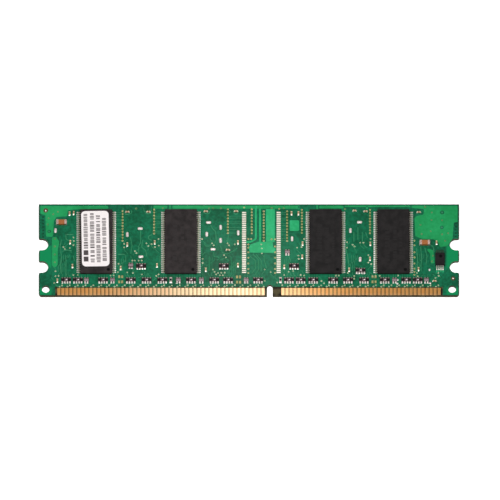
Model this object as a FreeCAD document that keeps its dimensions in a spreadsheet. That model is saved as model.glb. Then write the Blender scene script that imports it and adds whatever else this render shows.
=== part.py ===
import FreeCAD, Part

import os

import Sketcher
from FreeCAD import Placement, Rotation, Vector

# A 184-contact memory module, lying flat on its bare back.
# +X runs along the board, +Y from the contact edge to the top edge, +Z out of the chip side.
# The origin is the middle of the back face. Heights named "up" are measured from the contact edge.

os.makedirs("parts", exist_ok=True)

SIZES = {
    # board
    "board_length": 133.35,
    "board_height": 31.75,
    "board_thickness": 1.27,
    "skin_thickness": 0.04,
    "corner_radius": 1.0,
    "plane_thickness": 0.035,
    "plane_depth": 0.3,
    "plane_setback": 0.6,
    "cut_overrun": 1.0,
    # latch notches, latch holes and the key slot
    "notch_low_up": 10.0,
    "notch_high_up": 17.8,
    "notch_width": 4.0,
    "notch_depth": 3.0,
    "notch_mouth_radius": 0.5,
    "latch_hole_diameter": 2.5,
    "latch_hole_up": 2.3,
    "latch_hole_inset": 2.2,
    "key_place": 6.62,
    "key_width": 1.8,
    "key_depth": 3.8,
    # edge contacts and the window in the solder mask round them
    "contact_pitch": 1.27,
    "contact_width": 1.0,
    "contact_length": 2.5,
    "contact_edge_gap": 0.2,
    "contacts_left": 52,
    "contacts_right": 40,
    "key_to_left_contact": 2.175,
    "key_to_right_contact": 4.175,
    "window_up": 3.1,
    "window_end_margin": 5.2,
    # lands and solder
    "land_thickness": 0.03,
    "solder_climb": 0.1,
    # what both gull-wing packages share
    "standoff": 0.1,
    "mould_draft": 7,
    "case_edge_radius": 0.08,
    "dimple_radius": 0.45,
    "dimple_depth": 0.08,
    "dimple_margin": 1.25,
    "lead_thickness": 0.125,
    "lead_shoulder": 0.2,
    "wire_thickness": 0.03,
    "wire_setback": 0.15,
    "wire_rise": 0.1,
    # memory chips
    "chip_width": 10.16,
    "chip_end_margin": 0.71,
    "chip_height": 1.0,
    "chip_span": 11.76,
    "chip_foot": 0.45,
    "chip_pitch": 0.65,
    "chip_lead_width": 0.3,
    "chip_leads_per_side": 33,
    "chip_lead_end": 0.9,
    "chip_land_width": 0.38,
    "chip_land_heel": 0.6,
    "chip_land_toe": 0.37,
    "chip_wires_per_side": 21,
    "chip_wire_landing": 0.15,
    "chip_die_length": 15.0,
    "chip_die_width": 6.2,
    "chip_die_thickness": 0.25,
    "tape_thickness": 0.05,
    "tape_width": 1.2,
    "tape_setback": 0.3,
    "chip_row_up": 18.5,
    "chip_1_place": -48.45,
    "chip_2_place": -21.6,
    "chip_3_place": 24.3,
    "chip_4_place": 45.8,
    "spare_place": 3.93,
    # small memory that holds the module's settings
    "eeprom_width": 4.4,
    "eeprom_end_margin": 0.525,
    "eeprom_height": 0.9,
    "eeprom_span": 6.4,
    "eeprom_foot": 0.5,
    "eeprom_pitch": 0.65,
    "eeprom_lead_width": 0.25,
    "eeprom_leads_per_side": 4,
    "eeprom_lead_end": 1.25,
    "eeprom_land_width": 0.36,
    "eeprom_land_heel": 0.6,
    "eeprom_land_toe": 0.3,
    "eeprom_wires_per_side": 4,
    "eeprom_wire_landing": 0.4,
    "eeprom_die_length": 2.2,
    "eeprom_die_width": 1.2,
    "eeprom_die_thickness": 0.15,
    "paddle_length": 2.5,
    "paddle_width": 1.7,
    "eeprom_place": 60.6,
    "eeprom_up": 12.4,
    # paper label on the first chip
    "label_width": 8.7,
    "label_length": 19.2,
    "label_thickness": 0.08,
    "label_radius": 1.3,
    "label_shift_across": -0.3,
    "label_shift_along": 0.8,
    "label_turn": 1.0,
    # resistor arrays of four elements, and pairs, which are half as long
    "array_length": 3.2,
    "pair_length": 1.6,
    "array_width": 1.6,
    "array_height": 0.5,
    "array_pitch": 0.8,
    "array_elements": 4,
    "pair_elements": 2,
    "array_terminal_width": 0.45,
    "array_terminal_depth": 0.3,
    "array_toe": 0.25,
    "array_row_up": 5.3,
    "coat_margin": 0.08,
    "plating": 0.04,
    # single resistors, small capacitors and bulk capacitors
    "resistor_length": 1.6,
    "resistor_width": 0.8,
    "resistor_height": 0.45,
    "resistor_end": 0.3,
    "resistor_toe": 0.2,
    "capacitor_length": 1.0,
    "capacitor_width": 0.5,
    "capacitor_height": 0.5,
    "capacitor_end": 0.25,
    "capacitor_toe": 0.22,
    "bulk_length": 3.2,
    "bulk_width": 1.6,
    "bulk_height": 1.0,
    "bulk_end": 0.65,
    "bulk_toe": 0.12,
    # solder links and the lands of parts that this version leaves out
    "link_length": 1.7,
    "link_width": 0.9,
    "link_height": 0.3,
    "link_corner_radius": 0.4,
    "link_dome_radius": 0.22,
    "spare_land_length": 0.9,
    "spare_land_width": 0.6,
    "spare_land_pitch": 0.95,
    "spare_land_row_gap": 0.9,
}

# Places along the board and up from the contact edge, and whether the part is turned a quarter.
ARRAY_ROW_PLACES = [
    -58.0, -54.3, -46.3, -37.5, -32.5, -27.5, -18.4, -11.0, -6.6, 2.9,
    12.7, 16.4, 20.4, 26.7, 31.4, 36.5, 43.1, 49.9, 53.5,
]
ARRAY_MID_PLACES = [(-34.2, 10.2), (-8.0, 10.2), (14.3, 10.2), (35.4, 8.6)]
PAIR_PLACES = [
    (-51.6, 5.3, False), (-43.3, 5.3, False), (-22.4, 5.3, False), (-15.1, 5.3, False),
    (-0.9, 5.3, False), (46.2, 5.3, False), (56.3, 5.3, False), (-37.5, 10.4, False),
    (12.2, 15.0, False),
]
RESISTOR_PLACES = [(-24.8, 5.4, True), (10.0, 5.4, True)]
CAPACITOR_PLACES = [
    (-38.6, 29.0, False), (-31.9, 29.0, False), (-13.7, 29.2, False), (-4.1, 29.2, False),
    (33.5, 29.4, False), (37.0, 29.2, False), (53.9, 28.9, False), (-6.7, 15.8, False),
    (58.9, 5.0, False), (-56.9, 28.5, True), (-55.6, 28.7, True), (13.5, 28.6, True),
    (15.7, 28.6, True), (-56.7, 18.6, True), (-38.6, 17.8, True), (-29.9, 18.5, True),
    (-3.5, 18.5, True), (17.0, 18.1, True), (38.5, 18.0, True), (59.5, 18.4, True),
    (-56.0, 10.3, True), (-40.7, 9.6, True), (-29.2, 10.5, True), (-13.7, 9.0, True),
    (-3.5, 10.6, True), (16.9, 13.5, True), (38.4, 12.8, True), (31.8, 9.0, True),
    (53.8, 9.2, True), (11.2, 10.0, True), (-60.8, 5.2, True),
]
LINK_PLACES = [
    (-61.4, 22.6, True), (-38.6, 21.2, True), (-13.4, 21.3, True), (-9.0, 23.7, True),
    (-9.0, 19.2, True), (-3.4, 21.8, True), (13.7, 19.7, True), (32.2, 22.6, True),
    (35.3, 12.6, True), (-34.5, 23.3, False), (-34.3, 13.5, False), (-12.8, 25.4, False),
    (-11.4, 16.1, False), (35.1, 25.5, False),
]
SPARE_LAND_PLACES = [(-40.7, 5.7), (-3.3, 5.6), (39.7, 5.7)]
BULK_PLACES = {"left": (-59.5, 25.3), "right": (55.8, 18.2)}
BOTH_SIDES = ("-1", "1")

# Formulas used in many places
HALF_LENGTH = "dim.board_length / 2"
HALF_HEIGHT = "dim.board_height / 2"
FRONT = "dim.board_thickness"
SEAT = "(dim.board_thickness + dim.land_thickness)"

doc = FreeCAD.newDocument("memory_module")
sheet = doc.addObject("Spreadsheet::Sheet", "dim")
for row, (alias, size) in enumerate(SIZES.items(), start=1):
    sheet.set(f"A{row}", alias)
    sheet.set(f"B{row}", str(size))
    sheet.setAlias(f"B{row}", alias)
doc.recompute()

subparts = []


def number(formula):
    """Value of a formula, as a plain number."""
    return float(sheet.evalExpression(formula))


def keep(piece, label):
    """Name a finished sub-part and put it on the list that is written out."""
    piece.Label = label
    subparts.append(piece)
    return piece


# ---------------------------------------------------------------- sketches and features

def new_body(name):
    body = doc.addObject("PartDesign::Body", name)
    body.AllowCompound = True
    return body


def origin_feature(body, role):
    return next(feature for feature in body.Origin.OriginFeatures if feature.Role == role)


def new_sketch(body, name, plane, lift):
    """Sketch on one of the body's own origin planes, moved along its normal by a formula."""
    sketch = body.newObject("Sketcher::SketchObject", name)
    sketch.AttachmentSupport = (origin_feature(body, plane), [""])
    sketch.MapMode = "FlatFace"
    sketch.setExpression("AttachmentOffset.Base.z", lift)
    return sketch


def pin_point(sketch, geometry, point, across, along):
    """Hold a sketch point at two formulas, measured from the sketch's origin."""
    for kind, formula in (("DistanceX", across), ("DistanceY", along)):
        held = Sketcher.Constraint(kind, -1, 1, geometry, point, number(formula))
        index = sketch.addConstraint(held)
        sketch.setExpression(f"Constraints[{index}]", formula)


def add_polygon(sketch, corners):
    """Closed polygon; each corner is a pair of formulas."""
    first = sketch.GeometryCount
    points = [Vector(number(across), number(along), 0) for across, along in corners]
    for start, end in zip(points, points[1:] + points[:1]):
        sketch.addGeometry(Part.LineSegment(start, end), False)
    for index in range(len(corners)):
        following = first + (index + 1) % len(corners)
        sketch.addConstraint(Sketcher.Constraint("Coincident", first + index, 2, following, 1))
    for index, (across, along) in enumerate(corners):
        pin_point(sketch, first + index, 1, across, along)


def add_rectangle(sketch, left, right, low, high):
    add_polygon(sketch, [(left, low), (right, low), (right, high), (left, high)])


def add_circle(sketch, across, along, radius):
    centre = Vector(number(across), number(along), 0)
    index = sketch.addGeometry(Part.Circle(centre, Vector(0, 0, 1), number(radius)), False)
    pin_point(sketch, index, 3, across, along)
    held = sketch.addConstraint(Sketcher.Constraint("Radius", index, number(radius)))
    sketch.setExpression(f"Constraints[{held}]", radius)


def pad(body, sketch, length, taper=None, downward=False):
    feature = body.newObject("PartDesign::Pad", sketch.Name + "_pad")
    feature.Profile = sketch
    feature.Reversed = downward
    feature.setExpression("Length", length)
    if taper:
        feature.setExpression("TaperAngle", taper)
    doc.recompute()
    return feature


def pocket(body, sketch, depth):
    """Cut from the sketch into the body, and make sure that something was cut."""
    before = body.Shape.Volume
    feature = body.newObject("PartDesign::Pocket", sketch.Name + "_pocket")
    feature.Profile = sketch
    feature.setExpression("Length", depth)
    doc.recompute()
    if feature.Shape.Volume >= before:
        raise RuntimeError(sketch.Name + " cut nothing")
    return feature


def fillet(body, radius, wanted):
    """Round the edges of the body that the test picks out."""
    base = body.Tip
    names = [f"Edge{index}" for index, edge in enumerate(base.Shape.Edges, start=1) if wanted(edge)]
    feature = body.newObject("PartDesign::Fillet", body.Name + "_round")
    feature.Base = (base, names)
    feature.setExpression("Radius", radius)
    doc.recompute()
    return feature


def upright_at(places):
    """Test for straight upright edges that stand at one of the places."""
    def wanted(edge):
        first, last = edge.Vertexes[0].Point, edge.Vertexes[-1].Point
        if abs(first.x - last.x) > 0.001 or abs(first.y - last.y) > 0.001:
            return False
        return any(abs(first.x - x) < 0.01 and abs(first.y - y) < 0.01 for x, y in places)
    return wanted


def repeat(body, feature, axis, pitch, count):
    """Repeat a feature along one of the body's axes."""
    pattern = body.newObject("PartDesign::LinearPattern", body.Name + "_row")
    pattern.Originals = [feature]
    pattern.Direction = (origin_feature(body, axis), [""])
    pattern.setExpression("Length", f"({count} - 1) * ({pitch})")
    pattern.setExpression("Occurrences", count)
    body.Tip = pattern
    doc.recompute()
    return pattern


def block(name, length, width, height, floor, middle="0"):
    """Plain block that stands on the floor formula, centred on the Y axis and on X at the middle."""
    body = new_body(name)
    outline = new_sketch(body, name + "_outline", "XY_Plane", floor)
    half_length = f"({length}) / 2"
    half_width = f"({width}) / 2"
    add_rectangle(outline, f"{middle} - {half_length}", f"{middle} + {half_length}",
                  f"-{half_width}", half_width)
    pad(body, outline, height)
    return body


def compound(name, pieces):
    group = doc.addObject("Part::Compound", name)
    group.Links = pieces
    doc.recompute()
    return group


def cut(name, base, tool):
    result = doc.addObject("Part::Cut", name)
    result.Base = base
    result.Tool = tool
    doc.recompute()
    return result


# ---------------------------------------------------------------- board

def board_layer(name, setback, bottom, thickness):
    """Sheet with the board's outline, notches, key slot and latch holes, set back from every edge."""
    body = new_body(name)
    outline = new_sketch(body, name + "_outline", "XY_Plane", bottom)
    half_length = f"({HALF_LENGTH} - {setback})"
    half_height = f"({HALF_HEIGHT} - {setback})"
    add_rectangle(outline, f"-{half_length}", half_length, f"-{half_height}", half_height)
    pad(body, outline, thickness)

    straight = new_sketch(body, name + "_straight_cuts", "XY_Plane", f"{bottom} + {thickness}")
    rounds = new_sketch(body, name + "_round_cuts", "XY_Plane", f"{bottom} + {thickness}")
    mouth = f"({HALF_LENGTH} + dim.cut_overrun)"
    notch_end = f"({HALF_LENGTH} - dim.notch_depth + dim.notch_width / 2)"
    notch_half = f"(dim.notch_width / 2 + {setback})"
    for side in BOTH_SIDES:
        for up in ("dim.notch_low_up", "dim.notch_high_up"):
            middle = f"{up} - {HALF_HEIGHT}"
            ends = sorted([f"{side} * {mouth}", f"{side} * {notch_end}"], key=number)
            add_rectangle(straight, *ends, f"{middle} - {notch_half}", f"{middle} + {notch_half}")
            add_circle(rounds, f"{side} * {notch_end}", middle, notch_half)
        hole_across = f"{side} * ({HALF_LENGTH} - dim.latch_hole_inset)"
        hole_radius = f"dim.latch_hole_diameter / 2 + {setback}"
        add_circle(rounds, hole_across, f"dim.latch_hole_up - {HALF_HEIGHT}", hole_radius)
    key_half = f"(dim.key_width / 2 + {setback})"
    key_top = f"dim.key_depth - dim.key_width / 2 - {HALF_HEIGHT}"
    below = f"-{HALF_HEIGHT} - dim.cut_overrun"
    add_rectangle(straight, f"dim.key_place - {key_half}", f"dim.key_place + {key_half}", below, key_top)
    add_circle(rounds, "dim.key_place", key_top, key_half)
    pocket(body, straight, thickness)
    pocket(body, rounds, thickness)
    return body


def round_outline(body):
    """Round the two lower corners of the board and the mouths of the latch notches."""
    half_length = number(HALF_LENGTH)
    half_height = number(HALF_HEIGHT)
    corners = [(side * half_length, -half_height) for side in (-1, 1)]
    fillet(body, "dim.corner_radius", upright_at(corners))
    mouths = []
    for side in (-1, 1):
        for up in ("dim.notch_low_up", "dim.notch_high_up"):
            for edge in (-1, 1):
                along = number(f"{up} - {HALF_HEIGHT} + {edge} * dim.notch_width / 2")
                mouths.append((side * half_length, along))
    fillet(body, "dim.notch_mouth_radius", upright_at(mouths))


def solder_mask(name, bottom):
    """Green lacquer over one face of the laminate, open along the contacts."""
    body = board_layer(name, "0", bottom, "dim.skin_thickness")
    round_outline(body)
    window = new_sketch(body, name + "_window", "XY_Plane", f"{bottom} + dim.skin_thickness")
    window_end = f"({HALF_LENGTH} - dim.window_end_margin)"
    below = f"-{HALF_HEIGHT} - dim.cut_overrun"
    add_rectangle(window, f"-{window_end}", window_end, below, f"dim.window_up - {HALF_HEIGHT}")
    pocket(body, window, "dim.skin_thickness")
    return keep(body, name)


def contact_row(name, first, count, bottom):
    """Row of gold contacts along the lower edge, from the first one's place towards +X."""
    body = new_body(name)
    sketch = new_sketch(body, name + "_outline", "XY_Plane", bottom)
    low = f"dim.contact_edge_gap - {HALF_HEIGHT}"
    half = "dim.contact_width / 2"
    add_rectangle(sketch, f"{first} - {half}", f"{first} + {half}", low, f"{low} + dim.contact_length")
    contact = pad(body, sketch, "dim.skin_thickness")
    repeat(body, contact, "X_Axis", "dim.contact_pitch", count)
    return keep(body, name)


def build_board():
    inner_thickness = "(dim.board_thickness - 2 * dim.skin_thickness)"
    blank = board_layer("laminate_blank", "0", "dim.skin_thickness", inner_thickness)
    round_outline(blank)
    lower = board_layer("ground_plane", "dim.plane_setback", "dim.plane_depth", "dim.plane_thickness")
    upper_bottom = "(dim.board_thickness - dim.plane_depth - dim.plane_thickness)"
    upper = board_layer("power_plane", "dim.plane_setback", upper_bottom, "dim.plane_thickness")
    keep(lower, "ground_plane")
    keep(upper, "power_plane")
    keep(cut("laminate", blank, compound("inner_copper", [lower, upper])), "board_laminate")
    skins = {"back": "0", "front": "(dim.board_thickness - dim.skin_thickness)"}
    left_run = "(dim.contacts_left - 1) * dim.contact_pitch"
    left_first = f"(dim.key_place - dim.key_to_left_contact - {left_run})"
    right_first = "(dim.key_place + dim.key_to_right_contact)"
    for face, bottom in skins.items():
        solder_mask(f"solder_mask_{face}", bottom)
        contact_row(f"contacts_{face}_left", left_first, "dim.contacts_left", bottom)
        contact_row(f"contacts_{face}_right", right_first, "dim.contacts_right", bottom)


# ---------------------------------------------------------------- gull-wing packages

def case_floor():
    return f"({SEAT} + dim.standoff)"


def lead_level(kind):
    """Height of the leads' middle, where the two halves of the case meet."""
    return f"({case_floor()} + dim.{kind}_height / 2)"


def lead_top(kind):
    return f"({lead_level(kind)} + dim.lead_thickness / 2)"


def case_length(kind):
    """The case is as long as its row of leads and a margin at each end."""
    return f"((dim.{kind}_leads_per_side - 1) * dim.{kind}_pitch + 2 * dim.{kind}_end_margin)"


def lead_row(name, kind, profiles, width, count):
    """Row of equal pieces along Y, each drawn once in side view for both sides of the case."""
    body = new_body(name)
    first = f"({count} - 1) / 2 * dim.{kind}_pitch - ({width}) / 2"
    sketch = new_sketch(body, name + "_profile", "XZ_Plane", first)
    for side in BOTH_SIDES:
        add_polygon(sketch, [(f"{side} * ({across})", height) for across, height in profiles])
    piece = pad(body, sketch, width)
    repeat(body, piece, "Y_Axis", f"dim.{kind}_pitch", count)
    return body


def lead_profile(kind):
    """Gull wing: foot on the land, leg, and a straight run into the case."""
    tip = f"dim.{kind}_span / 2"
    heel = f"{tip} - dim.{kind}_foot"
    shoulder = f"dim.{kind}_width / 2 + dim.lead_shoulder"
    inner = f"dim.{kind}_lead_end"
    top = lead_top(kind)
    gauge = "dim.lead_thickness"
    return [
        (tip, SEAT), (tip, f"{SEAT} + {gauge}"), (heel, f"{SEAT} + {gauge}"), (shoulder, top),
        (inner, top), (inner, f"{top} - {gauge}"), (f"{shoulder} - {gauge}", f"{top} - {gauge}"),
        (f"{heel} - {gauge}", SEAT),
    ]


def land_profile(kind):
    """Flat land under a foot, with nothing soldered to it."""
    inner = f"dim.{kind}_span / 2 - dim.{kind}_foot - dim.{kind}_land_heel"
    outer = f"dim.{kind}_span / 2 + dim.{kind}_land_toe"
    return [(inner, FRONT), (outer, FRONT), (outer, SEAT), (inner, SEAT)]


def joint_profile(tip, inner, outer):
    """Land with the solder that climbs the outer end of what stands on it."""
    climb = f"{SEAT} + dim.solder_climb"
    return [(inner, FRONT), (outer, FRONT), (outer, SEAT), (tip, climb), (tip, SEAT), (inner, SEAT)]


def wire_profile(kind, die_top, climb):
    """Bond wire from the top of a lead, over the climb formula's height and down to the die."""
    start = f"dim.{kind}_lead_end + dim.wire_setback"
    landing = f"dim.{kind}_wire_landing"
    gauge = "dim.wire_thickness"
    base = lead_top(kind)
    crest = f"{base} + dim.wire_rise + {climb}"
    return [
        (start, base), (start, crest), (landing, crest), (landing, die_top),
        (f"{landing} + {gauge}", die_top), (f"{landing} + {gauge}", f"{crest} - {gauge}"),
        (f"{start} - {gauge}", f"{crest} - {gauge}"), (f"{start} - {gauge}", base),
    ]


def case_blank(kind):
    """Moulded case: two drafted halves, rounded upper edges and a dimple beside the first lead."""
    body = new_body(kind + "_blank")
    half_x = f"dim.{kind}_width / 2"
    half_y = f"{case_length(kind)} / 2"
    for name, downward in (("upper", False), ("lower", True)):
        half = new_sketch(body, f"{kind}_{name}_half", "XY_Plane", lead_level(kind))
        add_rectangle(half, f"-{half_x}", half_x, f"-{half_y}", half_y)
        pad(body, half, f"dim.{kind}_height / 2", taper="-dim.mould_draft", downward=downward)
    top = number(f"{case_floor()} + dim.{kind}_height")
    fillet(body, "dim.case_edge_radius", lambda edge: edge.BoundBox.ZMin > top - 0.001)
    dimple = new_sketch(body, kind + "_dimple", "XY_Plane", f"{case_floor()} + dim.{kind}_height")
    across = f"{half_x} - dim.dimple_margin"
    add_circle(dimple, across, f"dim.dimple_margin - {half_y}", "dim.dimple_radius")
    pocket(body, dimple, "dim.dimple_depth")
    return body


def package_rows(kind, die_top, wire_climb):
    """Leads, bond wires and solder of one package."""
    leads_per_side = f"dim.{kind}_leads_per_side"
    tip = f"dim.{kind}_span / 2"
    inner = f"{tip} - dim.{kind}_foot - dim.{kind}_land_heel"
    outer = f"{tip} + dim.{kind}_land_toe"
    joint = joint_profile(tip, inner, outer)
    return {
        "leads": lead_row(f"{kind}_lead_master", kind, lead_profile(kind),
                          f"dim.{kind}_lead_width", leads_per_side),
        "bond_wires": lead_row(f"{kind}_wire_master", kind, wire_profile(kind, die_top, wire_climb),
                               "dim.wire_thickness", f"dim.{kind}_wires_per_side"),
        "solder": lead_row(f"{kind}_solder_master", kind, joint,
                           f"dim.{kind}_land_width", leads_per_side),
    }


def hollow_case(kind, inside):
    """Case with room for the pieces that are moulded into it."""
    return cut(kind + "_case_master", case_blank(kind), compound(kind + "_inside", inside))


def chip_masters():
    """One memory chip at the middle of the frame: its die hangs under the leads on two tapes."""
    lead_bottom = f"({lead_top('chip')} - dim.lead_thickness)"
    die_top = f"({lead_bottom} - dim.tape_thickness)"
    pieces = package_rows("chip", die_top, wire_climb="0")
    pieces["die"] = block("chip_die_master", "dim.chip_die_width", "dim.chip_die_length",
                        "dim.chip_die_thickness", f"{die_top} - dim.chip_die_thickness")
    tapes = []
    for side in BOTH_SIDES:
        middle = f"{side} * (dim.chip_lead_end + dim.tape_setback + dim.tape_width / 2)"
        tapes.append(block("chip_tape_strip", "dim.tape_width", "dim.chip_die_length",
                         "dim.tape_thickness", die_top, middle=middle))
    pieces["die_tapes"] = compound("chip_tape_master", tapes)
    inside = [pieces[name] for name in ("leads", "bond_wires", "die", "die_tapes")]
    pieces["case"] = hollow_case("chip", inside)
    return pieces


def eeprom_masters():
    """The settings memory at the middle of the frame: its die sits on a paddle level with the leads."""
    die_floor = lead_top("eeprom")
    die_thickness = "dim.eeprom_die_thickness"
    pieces = package_rows("eeprom", f"{die_floor} + {die_thickness}", wire_climb=die_thickness)
    pieces["die"] = block("eeprom_die_master", "dim.eeprom_die_width", "dim.eeprom_die_length",
                        die_thickness, die_floor)
    pieces["paddle"] = block("eeprom_paddle_master", "dim.paddle_width", "dim.paddle_length",
                           "dim.lead_thickness", f"{die_floor} - dim.lead_thickness")
    inside = [pieces[name] for name in ("leads", "bond_wires", "die", "paddle")]
    pieces["case"] = hollow_case("eeprom", inside)
    return pieces


def place_copy(label, master, across, along, turn="0"):
    """Copy of a master piece at a place given by formulas, turned about Z by degrees."""
    copy = compound(label, [master])
    copy.setExpression("Placement.Base.x", across)
    copy.setExpression("Placement.Base.y", along)
    copy.Placement.Rotation = Rotation(Vector(0, 0, 1), number(turn))
    doc.recompute()
    return keep(copy, label)


def build_chips():
    chip_along = f"dim.chip_row_up - {HALF_HEIGHT}"
    masters = chip_masters()
    for index in (1, 2, 3, 4):
        for name, master in masters.items():
            place_copy(f"chip_{index}_{name}", master, f"dim.chip_{index}_place", chip_along)
    spare = lead_row("spare_land_master", "chip", land_profile("chip"),
                     "dim.chip_land_width", "dim.chip_leads_per_side")
    place_copy("spare_chip_lands", spare, "dim.spare_place", chip_along)
    for name, master in eeprom_masters().items():
        along = f"dim.eeprom_up - {HALF_HEIGHT}"
        place_copy(f"eeprom_{name}", master, "dim.eeprom_place", along, turn="90")


def build_label():
    """Sticker with round corners on the first chip, a little askew."""
    body = new_body("label_master")
    outline = new_sketch(body, "label_outline", "XY_Plane", f"{case_floor()} + dim.chip_height")
    half_x = "dim.label_width / 2"
    half_y = "dim.label_length / 2"
    add_rectangle(outline, f"-{half_x}", half_x, f"-{half_y}", half_y)
    pad(body, outline, "dim.label_thickness")
    corners = [(x * number(half_x), y * number(half_y)) for x in (-1, 1) for y in (-1, 1)]
    fillet(body, "dim.label_radius", upright_at(corners))
    across = "dim.chip_1_place + dim.label_shift_across"
    along = f"dim.chip_row_up + dim.label_shift_along - {HALF_HEIGHT}"
    place_copy("label_sticker", body, across, along, turn="dim.label_turn")


# ---------------------------------------------------------------- small parts

def placed(label, master, places):
    """Many equal small pieces; a place is across, up, and whether it is turned a quarter."""
    link = doc.addObject("App::Link", label + "_places")
    link.LinkedObject = master
    link.ShowElement = False
    link.ElementCount = len(places)
    contact_edge = -number(HALF_HEIGHT)
    quarter = Rotation(Vector(0, 0, 1), 90)
    straight = Rotation()
    link.PlacementList = [
        Placement(Vector(across, contact_edge + up, 0), quarter if turned else straight)
        for across, up, turned in places
    ]
    return link


def scatter(label, master, places):
    """A node that holds many equal small pieces."""
    return keep(compound(label, [placed(label, master, places)]), label)


def two_ended(kind):
    """Body, plated ends and solder of a part with one terminal at each end, lying along X."""
    length, width, height = (f"dim.{kind}_{name}" for name in ("length", "width", "height"))
    core = block(f"{kind}_body_master", f"({length} - 2 * dim.plating)", f"({width} - 2 * dim.plating)",
               f"({height} - 2 * dim.plating)", f"{SEAT} + dim.plating")
    ends = []
    for side in BOTH_SIDES:
        middle = f"{side} * ({length} - dim.{kind}_end) / 2"
        ends.append(block(f"{kind}_end", f"dim.{kind}_end", width, height, SEAT, middle=middle))
    plated = cut(f"{kind}_ends_master", compound(f"{kind}_end_blanks", ends), core)
    solder = new_body(f"{kind}_solder_master")
    sketch = new_sketch(solder, f"{kind}_solder_profile", "XZ_Plane", f"-({width}) / 2")
    tip = f"{length} / 2"
    profile = joint_profile(tip, f"{tip} - dim.{kind}_end", f"{tip} + dim.{kind}_toe")
    for side in BOTH_SIDES:
        add_polygon(sketch, [(f"{side} * ({across})", up) for across, up in profile])
    pad(solder, sketch, width)
    return core, plated, solder


def terminal_row(name, profile, count):
    """Row of equal terminals along both long sides of a resistor array, drawn once in end view."""
    body = new_body(name)
    width = "dim.array_terminal_width"
    first = f"-({count} - 1) / 2 * dim.array_pitch - {width} / 2"
    sketch = new_sketch(body, name + "_profile", "YZ_Plane", first)
    for side in BOTH_SIDES:
        add_polygon(sketch, [(f"{side} * ({across})", up) for across, up in profile])
    piece = pad(body, sketch, width)
    repeat(body, piece, "X_Axis", "dim.array_pitch", count)
    return body


def array_masters(kind):
    """Ceramic slab, its printed coat, wrapped terminals and solder of one array or pair."""
    plate = "dim.plating"
    length = f"dim.{kind}_length"
    count = f"dim.{kind}_elements"
    edge = "dim.array_width / 2"
    inner = f"{edge} - dim.array_terminal_depth"
    top = f"{SEAT} + dim.array_height"
    wrap = [
        (edge, SEAT), (edge, top), (inner, top), (inner, f"{top} - {plate}"),
        (f"{edge} - {plate}", f"{top} - {plate}"), (f"{edge} - {plate}", f"{SEAT} + {plate}"),
        (inner, f"{SEAT} + {plate}"), (inner, SEAT),
    ]
    joint = joint_profile(edge, inner, f"{edge} + dim.array_toe")
    coat_width = "(dim.array_width - 2 * dim.array_terminal_depth - 2 * dim.coat_margin)"
    return {
        "bodies": block(f"{kind}_body_master", length, f"(dim.array_width - 2 * {plate})",
                      f"(dim.array_height - 2 * {plate})", f"{SEAT} + {plate}"),
        "coats": block(f"{kind}_coat_master", f"({length} - 2 * dim.coat_margin)", coat_width,
                     plate, f"{top} - {plate}"),
        "terminals": terminal_row(f"{kind}_terminal_master", wrap, count),
        "solder": terminal_row(f"{kind}_joint_master", joint, count),
    }


def build_resistors():
    row_up = number("dim.array_row_up")
    places = [(across, row_up, False) for across in ARRAY_ROW_PLACES]
    places += [(across, up, False) for across, up in ARRAY_MID_PLACES]
    arrays = array_masters("array")
    pairs = array_masters("pair")
    for name in ("bodies", "terminals", "solder"):
        links = [placed(f"array_{name}", arrays[name], places), placed(f"pair_{name}", pairs[name], PAIR_PLACES)]
        keep(compound(f"resistor_array_{name}", links), f"resistor_array_{name}")
    scatter("resistor_array_coats", arrays["coats"], places)
    scatter("resistor_pair_coats", pairs["coats"], PAIR_PLACES)
    core, ends, solder = two_ended("resistor")
    coat_length = "(dim.resistor_length - 2 * dim.resistor_end - 2 * dim.coat_margin)"
    coat_floor = f"{SEAT} + dim.resistor_height - dim.plating"
    coat = block("resistor_coat_master", coat_length, "(dim.resistor_width - 2 * dim.coat_margin)",
               "dim.plating", coat_floor)
    scatter("resistor_bodies", core, RESISTOR_PLACES)
    scatter("resistor_coats", coat, RESISTOR_PLACES)
    scatter("resistor_ends", ends, RESISTOR_PLACES)
    scatter("resistor_solder", solder, RESISTOR_PLACES)


def build_capacitors():
    core, ends, solder = two_ended("capacitor")
    scatter("capacitor_bodies", core, CAPACITOR_PLACES)
    scatter("capacitor_ends", ends, CAPACITOR_PLACES)
    scatter("capacitor_solder", solder, CAPACITOR_PLACES)
    core, ends, solder = two_ended("bulk")
    for side, (across, up) in BULK_PLACES.items():
        scatter(f"bulk_capacitor_{side}_body", core, [(across, up, False)])
        scatter(f"bulk_capacitor_{side}_ends", ends, [(across, up, False)])
    scatter("bulk_capacitor_solder", solder, [(*place, False) for place in BULK_PLACES.values()])


def build_links():
    """Domed solder links: long drops with rounded rims."""
    body = new_body("link_master")
    outline = new_sketch(body, "link_outline", "XY_Plane", FRONT)
    half_x = "dim.link_length / 2"
    half_y = "dim.link_width / 2"
    add_rectangle(outline, f"-{half_x}", half_x, f"-{half_y}", half_y)
    pad(body, outline, "dim.link_height")
    corners = [(x * number(half_x), y * number(half_y)) for x in (-1, 1) for y in (-1, 1)]
    fillet(body, "dim.link_corner_radius", upright_at(corners))
    top = number(f"{FRONT} + dim.link_height")
    fillet(body, "dim.link_dome_radius", lambda edge: edge.BoundBox.ZMin > top - 0.001)
    scatter("solder_links", body, LINK_PLACES)


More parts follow.
